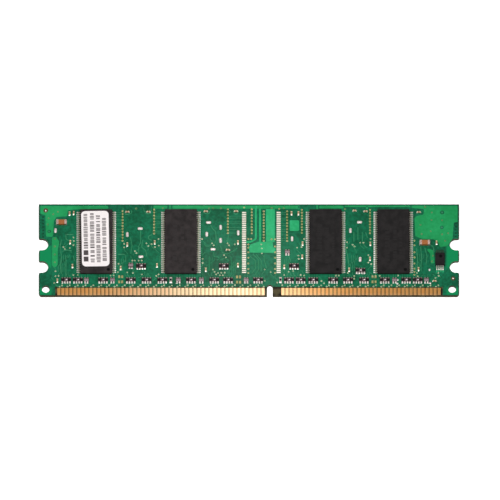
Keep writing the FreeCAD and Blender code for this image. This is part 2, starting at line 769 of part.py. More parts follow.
def build_spare_lands():
    """Four bare lands in two rows where a small resistor array is left out."""
    body = new_body("spare_lands_master")
    sketch = new_sketch(body, "spare_lands_outline", "XY_Plane", FRONT)
    half_width = "dim.spare_land_width / 2"
    half_length = "dim.spare_land_length / 2"
    row_middle = "((dim.spare_land_row_gap + dim.spare_land_length) / 2)"
    for across_side in BOTH_SIDES:
        across = f"{across_side} * dim.spare_land_pitch / 2"
        for along_side in BOTH_SIDES:
            along = f"{along_side} * {row_middle}"
            add_rectangle(sketch, f"{across} - {half_width}", f"{across} + {half_width}",
                          f"{along} - {half_length}", f"{along} + {half_length}")
    pad(body, sketch, "dim.land_thickness")
    scatter("spare_array_lands", body, [(across, up, False) for across, up in SPARE_LAND_PLACES])


# ---------------------------------------------------------------- build, check and write

def check_and_write():
    doc.recompute()
    for item in doc.Objects:
        if "Invalid" in item.State or "Error" in item.State:
            raise RuntimeError(f"{item.Label} failed: {item.State}")
    for piece in subparts:
        shape = piece.Shape
        if shape.isNull() or not shape.isValid() or not shape.Solids:
            raise RuntimeError(f"{piece.Label} has no sound shape")
    for piece in subparts:
        piece.Shape.exportStep(f"parts/{piece.Label}.step")


build_board()
build_chips()
build_label()
build_resistors()
build_capacitors()
build_links()
build_spare_lands()
check_and_write()
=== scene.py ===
import math
import random

import bmesh
import bpy
from mathutils import Matrix, Vector


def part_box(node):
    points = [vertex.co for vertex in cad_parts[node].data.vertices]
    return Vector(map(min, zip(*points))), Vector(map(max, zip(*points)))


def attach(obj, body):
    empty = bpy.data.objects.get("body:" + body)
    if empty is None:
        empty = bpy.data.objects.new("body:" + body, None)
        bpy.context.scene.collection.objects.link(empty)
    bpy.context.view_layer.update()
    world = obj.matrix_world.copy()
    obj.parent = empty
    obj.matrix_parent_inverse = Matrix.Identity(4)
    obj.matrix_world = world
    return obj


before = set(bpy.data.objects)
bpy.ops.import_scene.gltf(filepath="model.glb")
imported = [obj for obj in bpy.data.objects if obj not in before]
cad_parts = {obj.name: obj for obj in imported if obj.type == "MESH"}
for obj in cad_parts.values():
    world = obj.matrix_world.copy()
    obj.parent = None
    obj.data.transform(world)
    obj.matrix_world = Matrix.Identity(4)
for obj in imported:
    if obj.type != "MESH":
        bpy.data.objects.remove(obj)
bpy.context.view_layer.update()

# A memory module lying flat on its bare back, contact edge towards -Y, chips towards +Z.
# Places are written in millimetres: "across" from the middle of the board, "up" from its contact edge.

MM = 0.001
board_low, board_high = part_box("solder_mask_front")
FRONT = board_high.z
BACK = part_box("solder_mask_back")[0].z
HALF_LENGTH = board_high.x
EDGE_Y = board_low.y
BOARD_UP = board_high.y - board_low.y
COPPER_RISE = 0.03 * MM
VIA_RISE = 0.045 * MM
PRINT_RISE = 0.012 * MM
CONTACT_PITCH = 1.27 * MM
CONTACT_WIDTH = 1.0 * MM
CONTACT_TOP_UP = 2.6
ARRAY_ROWS = (5.3, 8.6, 10.2, 10.4, 15.0)
TERMINAL_REACH = 1.3
TERMINAL_MIDDLE = 0.82
NEAR_TERMINALS_UP = (4.0, 5.0)
FAR_TERMINALS_UP = (5.6, 6.6)
SETTINGS_MEMORY_UP = 12.0
CHIPS = ("chip_1", "chip_2", "chip_3", "chip_4")
chance = random.Random(184)


def spot(across, up, z=None):
    """A place on the front, or at height z, as a point in metres."""
    return Vector((across * MM, EDGE_Y + up * MM, FRONT if z is None else z))


# ---------------------------------------------------------------- nodes and finishes


class Signal:
    """A value that runs through a node tree, worked with like a number."""

    def __init__(self, bench, socket):
        self.bench = bench
        self.socket = socket

    def __add__(self, other):
        return self.bench.maths("ADD", self, other)

    __radd__ = __add__

    def __sub__(self, other):
        return self.bench.maths("SUBTRACT", self, other)

    def __rsub__(self, other):
        return self.bench.maths("SUBTRACT", other, self)

    def __mul__(self, other):
        return self.bench.maths("MULTIPLY", self, other)

    __rmul__ = __mul__

    def __truediv__(self, other):
        return self.bench.maths("DIVIDE", self, other)

    def __gt__(self, other):
        return self.bench.maths("GREATER_THAN", self, other)

    def __lt__(self, other):
        return self.bench.maths("LESS_THAN", self, other)

    def __abs__(self):
        return self.bench.maths("ABSOLUTE", self)

    def floor(self):
        return self.bench.maths("FLOOR", self)

    def larger(self, other):
        return self.bench.maths("MAXIMUM", self, other)

    def between(self, low, high):
        """0 below low, 1 above high, and a smooth climb from one to the other."""
        return self.bench.node(
            "ShaderNodeMapRange",
            {"interpolation_type": "SMOOTHSTEP"},
            {"Value": self, "From Min": low, "From Max": high},
        )


class Bench:
    """Adds nodes to a tree: settings first, then the values or links of the sockets."""

    def __init__(self, tree):
        self.tree = tree

    def pick(self, sockets, name):
        if isinstance(name, int):
            return sockets[name]
        return next(s for s in sockets if s.name == name and s.enabled)

    def fill(self, socket, value):
        if isinstance(value, Signal):
            self.tree.links.new(value.socket, socket)
        else:
            socket.default_value = value

    def node(self, kind, settings=None, sockets=None, result=0):
        made = self.tree.nodes.new(kind)
        for name, value in (settings or {}).items():
            if name == "stops":
                self.set_stops(made.color_ramp.elements, value)
            else:
                setattr(made, name, value)
        for name, value in (sockets or {}).items():
            self.fill(self.pick(made.inputs, name), value)
        if len(made.outputs) == 0:
            return made
        return Signal(self, self.pick(made.outputs, result))

    def set_stops(self, elements, stops):
        while len(elements) < len(stops):
            elements.new(0.5)
        for element, (place, colour) in zip(elements, stops):
            element.position = place
            element.color = colour

    def maths(self, operation, *values):
        return self.node("ShaderNodeMath", {"operation": operation}, dict(enumerate(values)))


def shade(red, green, blue):
    """A colour given the way a colour card lists it, 0 to 255, as linear light."""

    def linear(level):
        level = level / 255
        return level / 12.92 if level <= 0.04045 else ((level + 0.055) / 1.055) ** 2.4

    return (linear(red), linear(green), linear(blue), 1.0)


class Finish(Bench):
    """One material: a surface shader and the pattern that feeds it."""

    def __init__(self, name):
        self.material = bpy.data.materials.new(name)
        self.material.use_nodes = True
        super().__init__(self.material.node_tree)
        self.tree.nodes.clear()
        self.surface = self.node("ShaderNodeBsdfPrincipled", None, None, "BSDF")
        self.node("ShaderNodeOutputMaterial", None, {"Surface": self.surface})
        self.place = self.node("ShaderNodeTexCoord", None, None, "Object")
        along = self.node("ShaderNodeSeparateXYZ", None, {"Vector": self.place}, "X")
        outputs = along.socket.node.outputs
        self.x, self.y, self.z = (Signal(self, outputs[axis]) for axis in "XYZ")

    def set(self, **values):
        """Sets the shader's sockets, whose names are given with _ for a space."""
        sockets = self.surface.socket.node.inputs
        for name, value in values.items():
            self.fill(self.pick(sockets, name.replace("_", " ")), value)
        return self

    def mix(self, amount, first, second):
        return self.node(
            "ShaderNodeMix", {"data_type": "RGBA"}, {0: amount, 6: first, 7: second}, 2
        )

    def cloud(self, size, detail=2.0, place=None):
        """Soft noise, 0 to 1, whose patches are about this size in millimetres."""
        place = place or self.place
        wanted = {"Vector": place, "Scale": 1 / (size * MM), "Detail": detail}
        return self.node("ShaderNodeTexNoise", None, wanted)

    def stretched(self, across, along, up=1.0):
        """The place, drawn out so that a pattern runs along one direction."""
        return self.node(
            "ShaderNodeMapping", None, {"Vector": self.place, "Scale": (across, along, up)}
        )

    def rough(self, height, depth, strength=1.0):
        """Raises the surface by height, a value from 0 to 1, times depth in millimetres."""
        wanted = {"Height": height, "Distance": depth * MM, "Strength": strength}
        return self.set(Normal=self.node("ShaderNodeBump", None, wanted))


def lacquer(name, dark, light, sheen=0.2):
    """Green lacquer over copper or bare laminate: clouded, slightly uneven, with a clear skin."""
    finish = Finish(name)
    tone = finish.cloud(9.0, 3.0) * 0.6 + finish.cloud(0.9, 2.0) * 0.4
    colour = finish.mix(tone.between(0.3, 0.7), dark, light)
    finish.set(Base_Color=colour, Coat_Weight=sheen, Coat_Roughness=0.16, Coat_IOR=1.45)
    finish.set(Roughness=0.5 + finish.cloud(0.35) * 0.16, Specular_IOR_Level=0.12)
    return finish.rough(finish.cloud(0.5, 3.0), 0.006)


def solder_mask():
    """The board's green skin, brighter where no buried copper lies below it."""
    finish = Finish("green_lacquer")
    tone = finish.cloud(9.0, 3.0) * 0.5 + finish.cloud(0.8, 3.0) * 0.5
    ground = finish.mix(tone.between(0.34, 0.66), shade(0, 80, 50), shade(10, 118, 80))
    from_end = (HALF_LENGTH - abs(finish.x)) / MM
    from_side = (BOARD_UP / 2 - abs(finish.y)) / MM
    up = (finish.y - EDGE_Y) / MM
    bare_end = (1 - from_end.between(3.6, 4.4)) * (1 - up.between(17.0, 17.6))
    clear = bare_end * (up.between(9.2, 10.2).larger(1 - up.between(2.4, 3.2)))
    ground = finish.mix(clear, ground, shade(0, 138, 82))
    # Painted shade: the lacquer darkens within about half a millimetre of the board's edges.
    inside = from_end.between(0.15, 0.45) * from_side.between(0.15, 0.45)
    colour = finish.mix(inside, shade(0, 62, 38), ground)
    finish.set(Base_Color=colour, Coat_Weight=0.2, Coat_Roughness=0.16, Coat_IOR=1.45)
    finish.set(Roughness=0.5 + finish.cloud(0.35) * 0.16, Specular_IOR_Level=0.12)
    return finish.rough(finish.cloud(0.5, 3.0), 0.008)


def laminate():
    """Cut glass-fibre board: pale resin with the layers of cloth showing at its edges."""
    finish = Finish("glass_fibre")
    layers = finish.cloud(0.12, 2.0, finish.stretched(0.06, 0.06, 1.0))
    weave = finish.node(
        "ShaderNodeTexBrick",
        {"offset": 0.5},
        {"Vector": finish.place, "Scale": 1.0 / MM, "Brick Width": 0.5, "Row Height": 0.25,
         "Color1": shade(34, 26, 16), "Color2": shade(26, 20, 12), "Mortar": shade(18, 14, 10)},
    )
    colour = finish.mix(layers.between(0.35, 0.65), weave, shade(86, 78, 54))
    finish.set(Base_Color=colour, Roughness=0.62 + layers * 0.2, Specular_IOR_Level=0.15)
    return finish.rough(layers, 0.01)


def gold():
    """Hard gold plating, drawn out towards the edge by being pushed in and pulled out."""
    finish = Finish("contact_gold")
    streaks = finish.cloud(0.12, 2.0, finish.stretched(1.0, 0.05))
    pad = (finish.x / CONTACT_PITCH).floor()
    own = finish.node("ShaderNodeTexWhiteNoise", {"noise_dimensions": "1D"}, {"W": pad}, "Value")
    up = (finish.y - EDGE_Y) / MM
    worn = (1 - up.between(0.5, 1.1)) * 0.5
    colour = finish.mix(streaks * 0.5 + own * 0.45, shade(248, 190, 116), shade(220, 146, 70))
    colour = finish.mix(worn, colour, shade(240, 186, 136))
    # Painted highlight: the gold turns paler and creamier over the middle of the board, standing in for the
    # light above it.
    painted_highlight = 1 - abs(finish.x / MM + 12.0).between(6.0, 44.0)
    colour = finish.mix(painted_highlight * 0.8, colour, shade(228, 200, 164))
    finish.set(Base_Color=colour, Metallic=1.0, Specular_IOR_Level=0.5)
    finish.set(Roughness=0.24 + streaks * 0.12 + own * 0.04)
    return finish.rough(streaks, 0.004)


def metal_skin(finish, patch, colour, metallic, roughness, grain):
    """Gives a metal its colour, with duller patches and a slightly uneven skin."""
    finish.set(Base_Color=colour, Metallic=metallic, Roughness=roughness + patch * 0.18)
    return finish.rough(finish.cloud(grain, 2.0), 0.01)


def bright_metal(name, light, dark, roughness, grain, metallic=1.0):
    """Solder, tin and lead-frame metal: cloudy, with small dull patches."""
    finish = Finish(name)
    patch = finish.cloud(grain, 3.0)
    colour = finish.mix(patch.between(0.35, 0.7), light, dark)
    return metal_skin(finish, patch, colour, metallic, roughness, grain * 0.4)


def lead_metal():
    """Plated lead-frame strip, bright at the feet, with painted shade darkening the shoulders beside the
    case.
    """
    finish = Finish("lead_metal")
    patch = finish.cloud(0.3, 3.0)
    # Painted shade: the lead darkens as it climbs towards the case.
    shoulder_shade = ((finish.z - FRONT) / MM).between(0.12, 0.5)
    foot = finish.mix(patch, shade(176, 166, 150), shade(140, 130, 116))
    colour = finish.mix(shoulder_shade, foot, shade(84, 76, 68))
    return metal_skin(finish, patch, colour, 1.0, 0.34, 0.12)


def terminal_tin():
    """Tin on the terminals of the small resistors, with painted shade darkening the side towards the chips.
    """
    finish = Finish("terminal_tin")
    patch = finish.cloud(0.3, 3.0)
    up = (finish.y - EDGE_Y) / MM
    # Painted shade: the terminals on the far side of each row are darkened.
    far = 0.0
    for row in ARRAY_ROWS:
        far = (up > row) * (up < row + TERMINAL_REACH) + far
    bright = finish.mix(patch, shade(232, 222, 214), shade(196, 184, 176))
    colour = finish.mix(far, bright, shade(128, 108, 104))
    return metal_skin(finish, patch, colour, 0.8, 0.36, 0.12)


def settings_solder():
    """Solder on the settings memory, with painted shade darkening the side towards the top edge."""
    finish = Finish("settings_solder")
    patch = finish.cloud(0.3, 3.0)
    low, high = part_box("eeprom_case")
    # Painted shade: the half of the solder beyond the middle of the case is darkened.
    far = ((finish.y - (low.y + high.y) / 2) / MM).between(0.0, 0.5)
    bright = finish.mix(patch, shade(206, 200, 192), shade(166, 160, 152))
    colour = finish.mix(far, bright, shade(58, 62, 54))
    return metal_skin(finish, patch, colour, 0.8, 0.4, 0.12)


def spare_land():
    """Tinned land whose two ends run under the lacquer."""
    finish = Finish("spare_land")
    patch = finish.cloud(0.5, 3.0)
    low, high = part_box("spare_chip_lands")
    middle = (low.x + high.x) / 2
    half = (high.x - low.x) / 2
    from_tip = (half - abs(finish.x - middle)) / MM
    shown = from_tip.between(0.1, 0.2) * (1 - from_tip.between(1.36, 1.46))
    tin = finish.mix(patch, shade(248, 238, 224), shade(224, 214, 200))
    colour = finish.mix(shown, shade(60, 128, 90), tin)
    return metal_skin(finish, patch, colour, shown * 0.75, 0.36, 0.2)


def mould(package, dark, light, dimple_in, dimple_up):
    """Black moulding compound, matt and finely grained, with a smooth dimple beside lead one, painted near
    black as shade in its hollow.
    """
    finish = Finish(f"mould_compound_{package}")
    low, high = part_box(f"{package}_case")
    grain = finish.cloud(0.16, 3.0)
    smear = finish.cloud(2.2, 3.0)
    colour = finish.mix((grain * 0.45 + smear * 0.55).between(0.34, 0.64), dark, light)
    across = (finish.x - (high.x - dimple_in * MM)) / MM
    along = (finish.y - (low.y + dimple_up * MM)) / MM
    # Painted shade: the dimple is coloured near black.
    dimple = 1 - (across * across + along * along).between(0.2, 0.34)
    colour = finish.mix(dimple, colour, shade(3, 3, 3))
    finish.set(Base_Color=colour, Specular_IOR_Level=0.2)
    finish.set(Roughness=0.58 + grain * 0.18 + dimple * 0.24)
    return finish.rough(grain * (1 - dimple), 0.014)


def paper():
    """Glossy white label stock."""
    finish = Finish("label_stock")
    fibre = finish.cloud(0.25, 4.0)
    colour = finish.mix(fibre.between(0.3, 0.7), shade(255, 248, 246), shade(246, 238, 238))
    finish.set(Base_Color=colour, Roughness=0.45 + fibre * 0.15, Specular_IOR_Level=0.4)
    return finish.rough(fibre, 0.006)


def painted(name, dark, light, roughness, grain=0.2, coat=0.0, shine=0.5):
    """Fired ceramic, ink and other plain coats, slightly uneven."""
    finish = Finish(name)
    grains = finish.cloud(grain, 3.0)
    colour = finish.mix(grains.between(0.3, 0.7), dark, light)
    finish.set(Base_Color=colour, Roughness=roughness + grains * 0.15, Coat_Weight=coat)
    finish.set(Specular_IOR_Level=shine)
    return finish.rough(grains, 0.008)


MASK = solder_mask()
POUR = lacquer("lacquer_over_copper", shade(20, 140, 76), shade(36, 164, 96))
# A lighter copy of the copper lacquer. On the middle pours and the wide tracks its extra lightness is
# painted highlight from the light over the middle of the board; the settings memory's tracks use it as well.
CENTRE = lacquer("lacquer_over_centre", shade(30, 160, 98), shade(52, 186, 124))
TRACE = lacquer("lacquer_over_track", shade(38, 122, 82), shade(56, 140, 98))
VIA = lacquer("tinned_via", shade(176, 178, 112), shade(220, 214, 158), 0.6)
PALE_VIA = lacquer("pale_via", shade(196, 214, 170), shade(232, 238, 206), 0.6)
COVERED = lacquer("covered_via", shade(96, 128, 74), shade(126, 142, 88))
BARRED = lacquer("track_between_vias", shade(64, 92, 44), shade(86, 108, 54))
WELL = lacquer("lacquer_in_via", shade(96, 92, 44), shade(130, 118, 62), 0.6)
LAMINATE = laminate()
GOLD = gold()
TINNED = bright_metal("tinned_land", shade(240, 226, 222), shade(212, 200, 196), 0.34, 0.5, 0.75)
DULL_LAND = bright_metal("dull_land", shade(176, 168, 110), shade(130, 120, 70), 0.4, 0.4, 0.5)
TEST_RING = bright_metal("test_ring", shade(104, 78, 44), shade(70, 58, 34), 0.45, 0.4, 0.3)
TEST_MIDDLE = lacquer("test_middle", shade(70, 58, 26), shade(96, 76, 38))
SOLDER = bright_metal("solder_joint", shade(255, 252, 248), shade(226, 220, 212), 0.28, 0.4, 0.7)
LEAD = lead_metal()
TERMINAL = terminal_tin()
SPARE = spare_land()
TIN = bright_metal("plated_tin", shade(214, 200, 190), shade(172, 156, 146), 0.4, 0.3)
CAP_TIN = bright_metal("capacitor_tin", shade(238, 222, 184), shade(204, 184, 140), 0.38, 0.3, 0.8)
BULK_TIN = bright_metal("bulk_tin", shade(214, 188, 178), shade(170, 140, 130), 0.4, 0.3)
DARK_TICK = lacquer("lacquer_over_tick", shade(4, 62, 40), shade(10, 76, 50))
COPPER = bright_metal("bare_copper", shade(232, 150, 104), shade(190, 104, 70), 0.4, 0.6)
WIRE = bright_metal("bond_wire_gold", shade(255, 206, 120), shade(230, 170, 80), 0.2, 0.1)
SILICON = bright_metal("silicon_die", shade(96, 100, 116), shade(70, 72, 86), 0.2, 0.8, 0.6)
TAPE = painted("die_tape", shade(196, 130, 48), shade(214, 150, 66), 0.4, 0.3)
LABEL = paper()
INK = painted("label_ink", shade(58, 48, 50), shade(78, 68, 68), 0.5)
# Etch marks for the left chip, made lighter to go with the painted sheen on its case.
LIT_CASE_ETCH = painted("etch_on_grey", shade(38, 34, 34), shade(47, 42, 42), 0.7, 0.1, 0.0, 0.3)
BLACK_ETCH = painted("etch_on_black", shade(25, 23, 23), shade(34, 31, 31), 0.7, 0.1, 0.0, 0.3)
BLACK_COAT = painted("resistor_coat", shade(4, 3, 4), shade(14, 11, 13), 0.45, 0.2, 0.0, 0.2)
GREY_COAT = painted("pair_coat", shade(120, 100, 104), shade(156, 136, 140), 0.4, 0.2, 0.2)
MARK = painted("resistor_mark", shade(112, 84, 90), shade(150, 120, 126), 0.5, 0.1)
DOT = painted("resistor_dot", shade(240, 232, 232), shade(252, 246, 246), 0.5, 0.1)
ALUMINA = painted("resistor_alumina", shade(206, 200, 196), shade(228, 222, 216), 0.5, 0.15)
TAN_CERAMIC = painted("capacitor_ceramic", shade(150, 112, 84), shade(176, 136, 104), 0.4, 0.1)
BROWN_CERAMIC = painted("bulk_ceramic", shade(150, 84, 34), shade(178, 106, 48), 0.35, 0.2)
FLOOR = painted("studio_floor", shade(248, 248, 248), shade(252, 252, 252), 0.8, 40.0)
FLOOR.set(Emission_Color=shade(255, 255, 255), Emission_Strength=0.6)

FINISH_OF = {
    "board_laminate": LAMINATE,
    "ground_plane": COPPER,
    "power_plane": COPPER,
    "solder_mask_front": MASK,
    "solder_mask_back": MASK,
    "contacts_front_left": GOLD,
    "contacts_front_right": GOLD,
    "contacts_back_left": GOLD,
    "contacts_back_right": GOLD,
    "spare_chip_lands": SPARE,
    "label_sticker": LABEL,
    "resistor_array_bodies": BLACK_COAT,
    "resistor_pair_coats": GREY_COAT,
    "resistor_array_coats": BLACK_COAT,
    "resistor_array_terminals": TERMINAL,
    "resistor_array_solder": SOLDER,
    "resistor_bodies": ALUMINA,
    "resistor_coats": BLACK_COAT,
    "resistor_ends": TIN,
    "resistor_solder": SOLDER,
    "capacitor_bodies": TAN_CERAMIC,
    "capacitor_ends": CAP_TIN,
    "capacitor_solder": SOLDER,
    "bulk_capacitor_left_body": BROWN_CERAMIC,
    "bulk_capacitor_right_body": BROWN_CERAMIC,
    "bulk_capacitor_left_ends": BULK_TIN,
    "bulk_capacitor_right_ends": BULK_TIN,
    "bulk_capacitor_solder": SOLDER,
    "solder_links": TINNED,
    "spare_array_lands": DULL_LAND,
}
PACKAGE_FINISHES = {
    "leads": LEAD,
    "bond_wires": WIRE,
    "solder": SOLDER,
    "die": SILICON,
    "die_tapes": TAPE,
    "paddle": LEAD,
}
for package in CHIPS + ("eeprom",):
    for ending, finish in PACKAGE_FINISHES.items():
        FINISH_OF[f"{package}_{ending}"] = finish
    if package == "eeprom":
        case = mould(package, shade(16, 14, 15), shade(30, 27, 28), 1.25, 3.15)
    elif package in ("chip_1", "chip_2"):
        # The two left chips get a lighter copy of the same compound: painted sheen from the light on that
        # side of the board.
        case = mould(package, shade(28, 24, 24), shade(52, 46, 46), 1.25, 1.25)
    else:
        case = mould(package, shade(16, 14, 14), shade(36, 33, 33), 1.25, 1.25)
    FINISH_OF[f"{package}_case"] = case
FINISH_OF["eeprom_solder"] = settings_solder()
FINISH_OF["eeprom_leads"] = FINISH_OF["eeprom_solder"]

for node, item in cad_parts.items():
    for slot in item.material_slots:
        slot.material = FINISH_OF[node].material


# ---------------------------------------------------------------- shapes that repeat


class Recipe(Bench):
    """A geometry tree with named inputs, which turns seed points or lines into a piece."""

    def __init__(self, name, **inputs):
        super().__init__(bpy.data.node_groups.new(name, "GeometryNodeTree"))
        sockets = self.tree.interface
        sockets.new_socket("Geometry", in_out="INPUT", socket_type="NodeSocketGeometry")
        self.keys = {}
        for title, start in inputs.items():
            made = sockets.new_socket(title, in_out="INPUT", socket_type="NodeSocketFloat")
            made.default_value = start
            self.keys[title] = made.identifier
        sockets.new_socket("Geometry", in_out="OUTPUT", socket_type="NodeSocketGeometry")
        self.seeds = self.node("NodeGroupInput", None, None, "Geometry")
        self.entry = self.seeds.socket.node

    def input(self, title):
        return Signal(self, self.entry.outputs[title])

    def named(self, title, kind="FLOAT"):
        wanted = {"Name": title}
        return self.node("GeometryNodeInputNamedAttribute", {"data_type": kind}, wanted, "Attribute")

    def vector(self, x, y, z):
        return self.node("ShaderNodeCombineXYZ", None, {"X": x, "Y": y, "Z": z})

    def coat(self, shape, finish):
        wanted = {"Geometry": shape, "Material": finish.material}
        return self.node("GeometryNodeSetMaterial", None, wanted)

    def join(self, *shapes):
        joined = self.tree.nodes.new("GeometryNodeJoinGeometry")
        for shape in shapes:
            self.tree.links.new(shape.socket, joined.inputs[0])
        return Signal(self, joined.outputs[0])

    def raised(self, shape, lift, faces=True):
        """The shape, or the faces picked on it, drawn up by lift with walls round it."""
        wanted = {"Mesh": shape, "Selection": faces, "Offset": lift, "Individual": False}
        return self.node("GeometryNodeExtrudeMesh", None, wanted, "Mesh")

    def top_of(self, raised):
        return Signal(self, raised.socket.node.outputs["Top"])

    def welded(self, upper, lower, gap):
        wanted = {"Geometry": self.join(upper, lower), "Distance": gap}
        return self.node("GeometryNodeMergeByDistance", None, wanted)

    def at_points(self, shape):
        """Copies of the shape at the seed points, each at its own size."""
        points = self.node("GeometryNodeMeshToPoints", None, {"Mesh": self.seeds})
        size = self.named("size", "FLOAT_VECTOR")
        wanted = {"Points": points, "Instance": shape, "Scale": size}
        return self.node("GeometryNodeInstanceOnPoints", None, wanted)

    def realized(self, copies):
        return self.node("GeometryNodeRealizeInstances", None, {"Geometry": copies})

    def finish(self, shape):
        self.node("NodeGroupOutput", None, {"Geometry": shape})


def seed_mesh(name, lines, closed=False, extras=None):
    """A mesh of bare points and lines; lines of one point are points to place a shape on."""
    mesh = bpy.data.meshes.new(name)
    points = []
    edges = []
    for line in lines:
        first = len(points)
        points.extend(line)
        edges.extend((first + i, first + i + 1) for i in range(len(line) - 1))
        if closed:
            edges.append((len(points) - 1, first))
    mesh.from_pydata(points, edges, [])
    for title, values in (extras or {}).items():
        kind = "FLOAT" if isinstance(values[0], (int, float)) else "FLOAT_VECTOR"
        slots = mesh.attributes.new(title, kind, "POINT")
        for slot, value in zip(slots.data, values):
            if kind == "FLOAT":
                slot.value = value
            else:
                slot.vector = value
    return mesh


def keep_piece(item, slot, body="root"):
    """Files a finished piece: what it rides on. Its slot argument is not used."""
    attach(item, body)
    return item


def grow(name, seeds, recipe, slot, **inputs):
    """Runs a recipe on the seeds and keeps the result as a plain mesh."""
    item = bpy.data.objects.new(name, seeds)
    bpy.context.scene.collection.objects.link(item)
    step = item.modifiers.new("grow", "NODES")
    step.node_group = recipe.tree
    for title, value in inputs.items():
        step[recipe.keys[title]] = value
    bpy.context.view_layer.update()
    ready = item.evaluated_get(bpy.context.evaluated_depsgraph_get())
    result = bpy.data.meshes.new_from_object(ready)
    item.modifiers.clear()
    item.data = result
    if result.materials and result.materials[0] is None:
        places = [face.material_index - 1 for face in result.polygons]
        result.materials.pop(index=0)
        result.polygons.foreach_set("material_index", places)
    return keep_piece(item, slot)


def plates_recipe(name, finish):
    """Closed lines become flat plates with rounded corners."""
    recipe = Recipe(name, Corner=0.3 * MM, Rise=COPPER_RISE, Level=FRONT)
    line = recipe.node("GeometryNodeMeshToCurve", None, {"Mesh": recipe.seeds})
    rounded = recipe.node(
        "GeometryNodeFilletCurve",
        {"mode": "POLY"},
        {"Curve": line, "Radius": recipe.input("Corner"), "Limit Radius": True, "Count": 4},
    )
    sheet = recipe.node("GeometryNodeFillCurve", {"mode": "NGONS"}, {"Curve": rounded})
    level = recipe.vector(0.0, 0.0, recipe.input("Level"))
    sheet = recipe.node("GeometryNodeTransform", None, {"Geometry": sheet, "Translation": level})
    lift = recipe.vector(0.0, 0.0, recipe.input("Rise"))
    risen = recipe.raised(sheet, lift)
    under = recipe.node("GeometryNodeFlipFaces", None, {"Mesh": sheet})
    recipe.finish(recipe.coat(recipe.welded(risen, under, 1e-7), finish))
    return recipe


def tracks_recipe(name, finish):
    """Open lines become flat tracks with rounded bends."""
    recipe = Recipe(name, Width=0.2 * MM, Rise=COPPER_RISE, Bend=0.5 * MM)
    line = recipe.node("GeometryNodeMeshToCurve", None, {"Mesh": recipe.seeds})
    bent = recipe.node(
        "GeometryNodeFilletCurve",
        {"mode": "POLY"},
        {"Curve": line, "Radius": recipe.input("Bend"), "Limit Radius": True, "Count": 3},
    )
    flat = recipe.node("GeometryNodeSetCurveNormal", {"mode": "Z_UP"}, {"Curve": bent})
    section = recipe.node(
        "GeometryNodeCurvePrimitiveQuadrilateral",
        None,
        {"Width": recipe.input("Width"), "Height": recipe.input("Rise") * 2},
    )
    wanted = {"Curve": flat, "Profile Curve": section, "Fill Caps": True}
    strip = recipe.node("GeometryNodeCurveToMesh", None, wanted)
    recipe.finish(recipe.coat(strip, finish))
    return recipe


def rings_recipe(name, ring_finish, well_finish, sides=12):
    """Points become plated rings with a sunk middle."""
    recipe = Recipe(name, Radius=0.3 * MM, Rise=VIA_RISE)
    radius = recipe.input("Radius")
    thickness = radius * 0.32
    wanted = {"Resolution": sides, "Radius": radius * 0.68}
    circle = recipe.node("GeometryNodeCurvePrimitiveCircle", None, wanted)
    wanted = {"Resolution": 6, "Radius": thickness}
    section = recipe.node("GeometryNodeCurvePrimitiveCircle", None, wanted)
    tube = recipe.node("GeometryNodeCurveToMesh", None, {"Curve": circle, "Profile Curve": section})
    squash = recipe.vector(1.0, 1.0, recipe.input("Rise") / thickness)
    ring = recipe.node("GeometryNodeTransform", None, {"Geometry": tube, "Scale": squash})
    wanted = {"Vertices": sides, "Radius": radius * 0.5, "Depth": recipe.input("Rise") * 1.6}
    well = recipe.node("GeometryNodeMeshCylinder", None, wanted)
    via = recipe.join(recipe.coat(ring, ring_finish), recipe.coat(well, well_finish))
    recipe.finish(recipe.realized(recipe.at_points(via)))
    return recipe


def domes_recipe(name, finish, sides=10, rings=6):
    """Points become low drops, whose size is kept with each point."""
    recipe = Recipe(name)
    wanted = {"Segments": sides, "Rings": rings, "Radius": 1.0}
    drop = recipe.node("GeometryNodeMeshUVSphere", None, wanted)
    whole = recipe.realized(recipe.at_points(drop))
    smooth = recipe.node("GeometryNodeSetShadeSmooth", None, {"Geometry": whole})
    recipe.finish(recipe.coat(smooth, finish))
    return recipe


def blocks_recipe(name, finish):
    """Points become small raised blocks with chamfered rims, sized and turned point by point."""
    recipe = Recipe(name, Chamfer=0.82)
    wanted = {"Size X": 1.0, "Size Y": 1.0, "Vertices X": 2, "Vertices Y": 2}
    outline = recipe.node("GeometryNodeMeshGrid", None, wanted)
    wall = recipe.raised(outline, (0.0, 0.0, 0.6))
    rim = recipe.raised(wall, (0.0, 0.0, 0.4), recipe.top_of(wall))
    wanted = {"Geometry": rim, "Selection": recipe.top_of(rim), "Scale": recipe.input("Chamfer")}
    chamfer = recipe.node("GeometryNodeScaleElements", None, wanted)
    under = recipe.node("GeometryNodeFlipFaces", None, {"Mesh": outline})
    placed = recipe.at_points(recipe.welded(chamfer, under, 1e-4))
    turn = recipe.vector(0.0, 0.0, recipe.named("turn"))
    wanted = {"Instances": placed, "Rotation": turn}
    whole = recipe.realized(recipe.node("GeometryNodeRotateInstances", None, wanted))
    recipe.finish(recipe.coat(whole, finish))
    return recipe


# ---------------------------------------------------------------- copper under the lacquer


def outlines(*shapes):
    return [[spot(across, up) for across, up in shape] for shape in shapes]


def bar(low_across, low_up, high_across, high_up):
    return [(low_across, low_up), (high_across, low_up), (high_across, high_up), (low_across, high_up)]


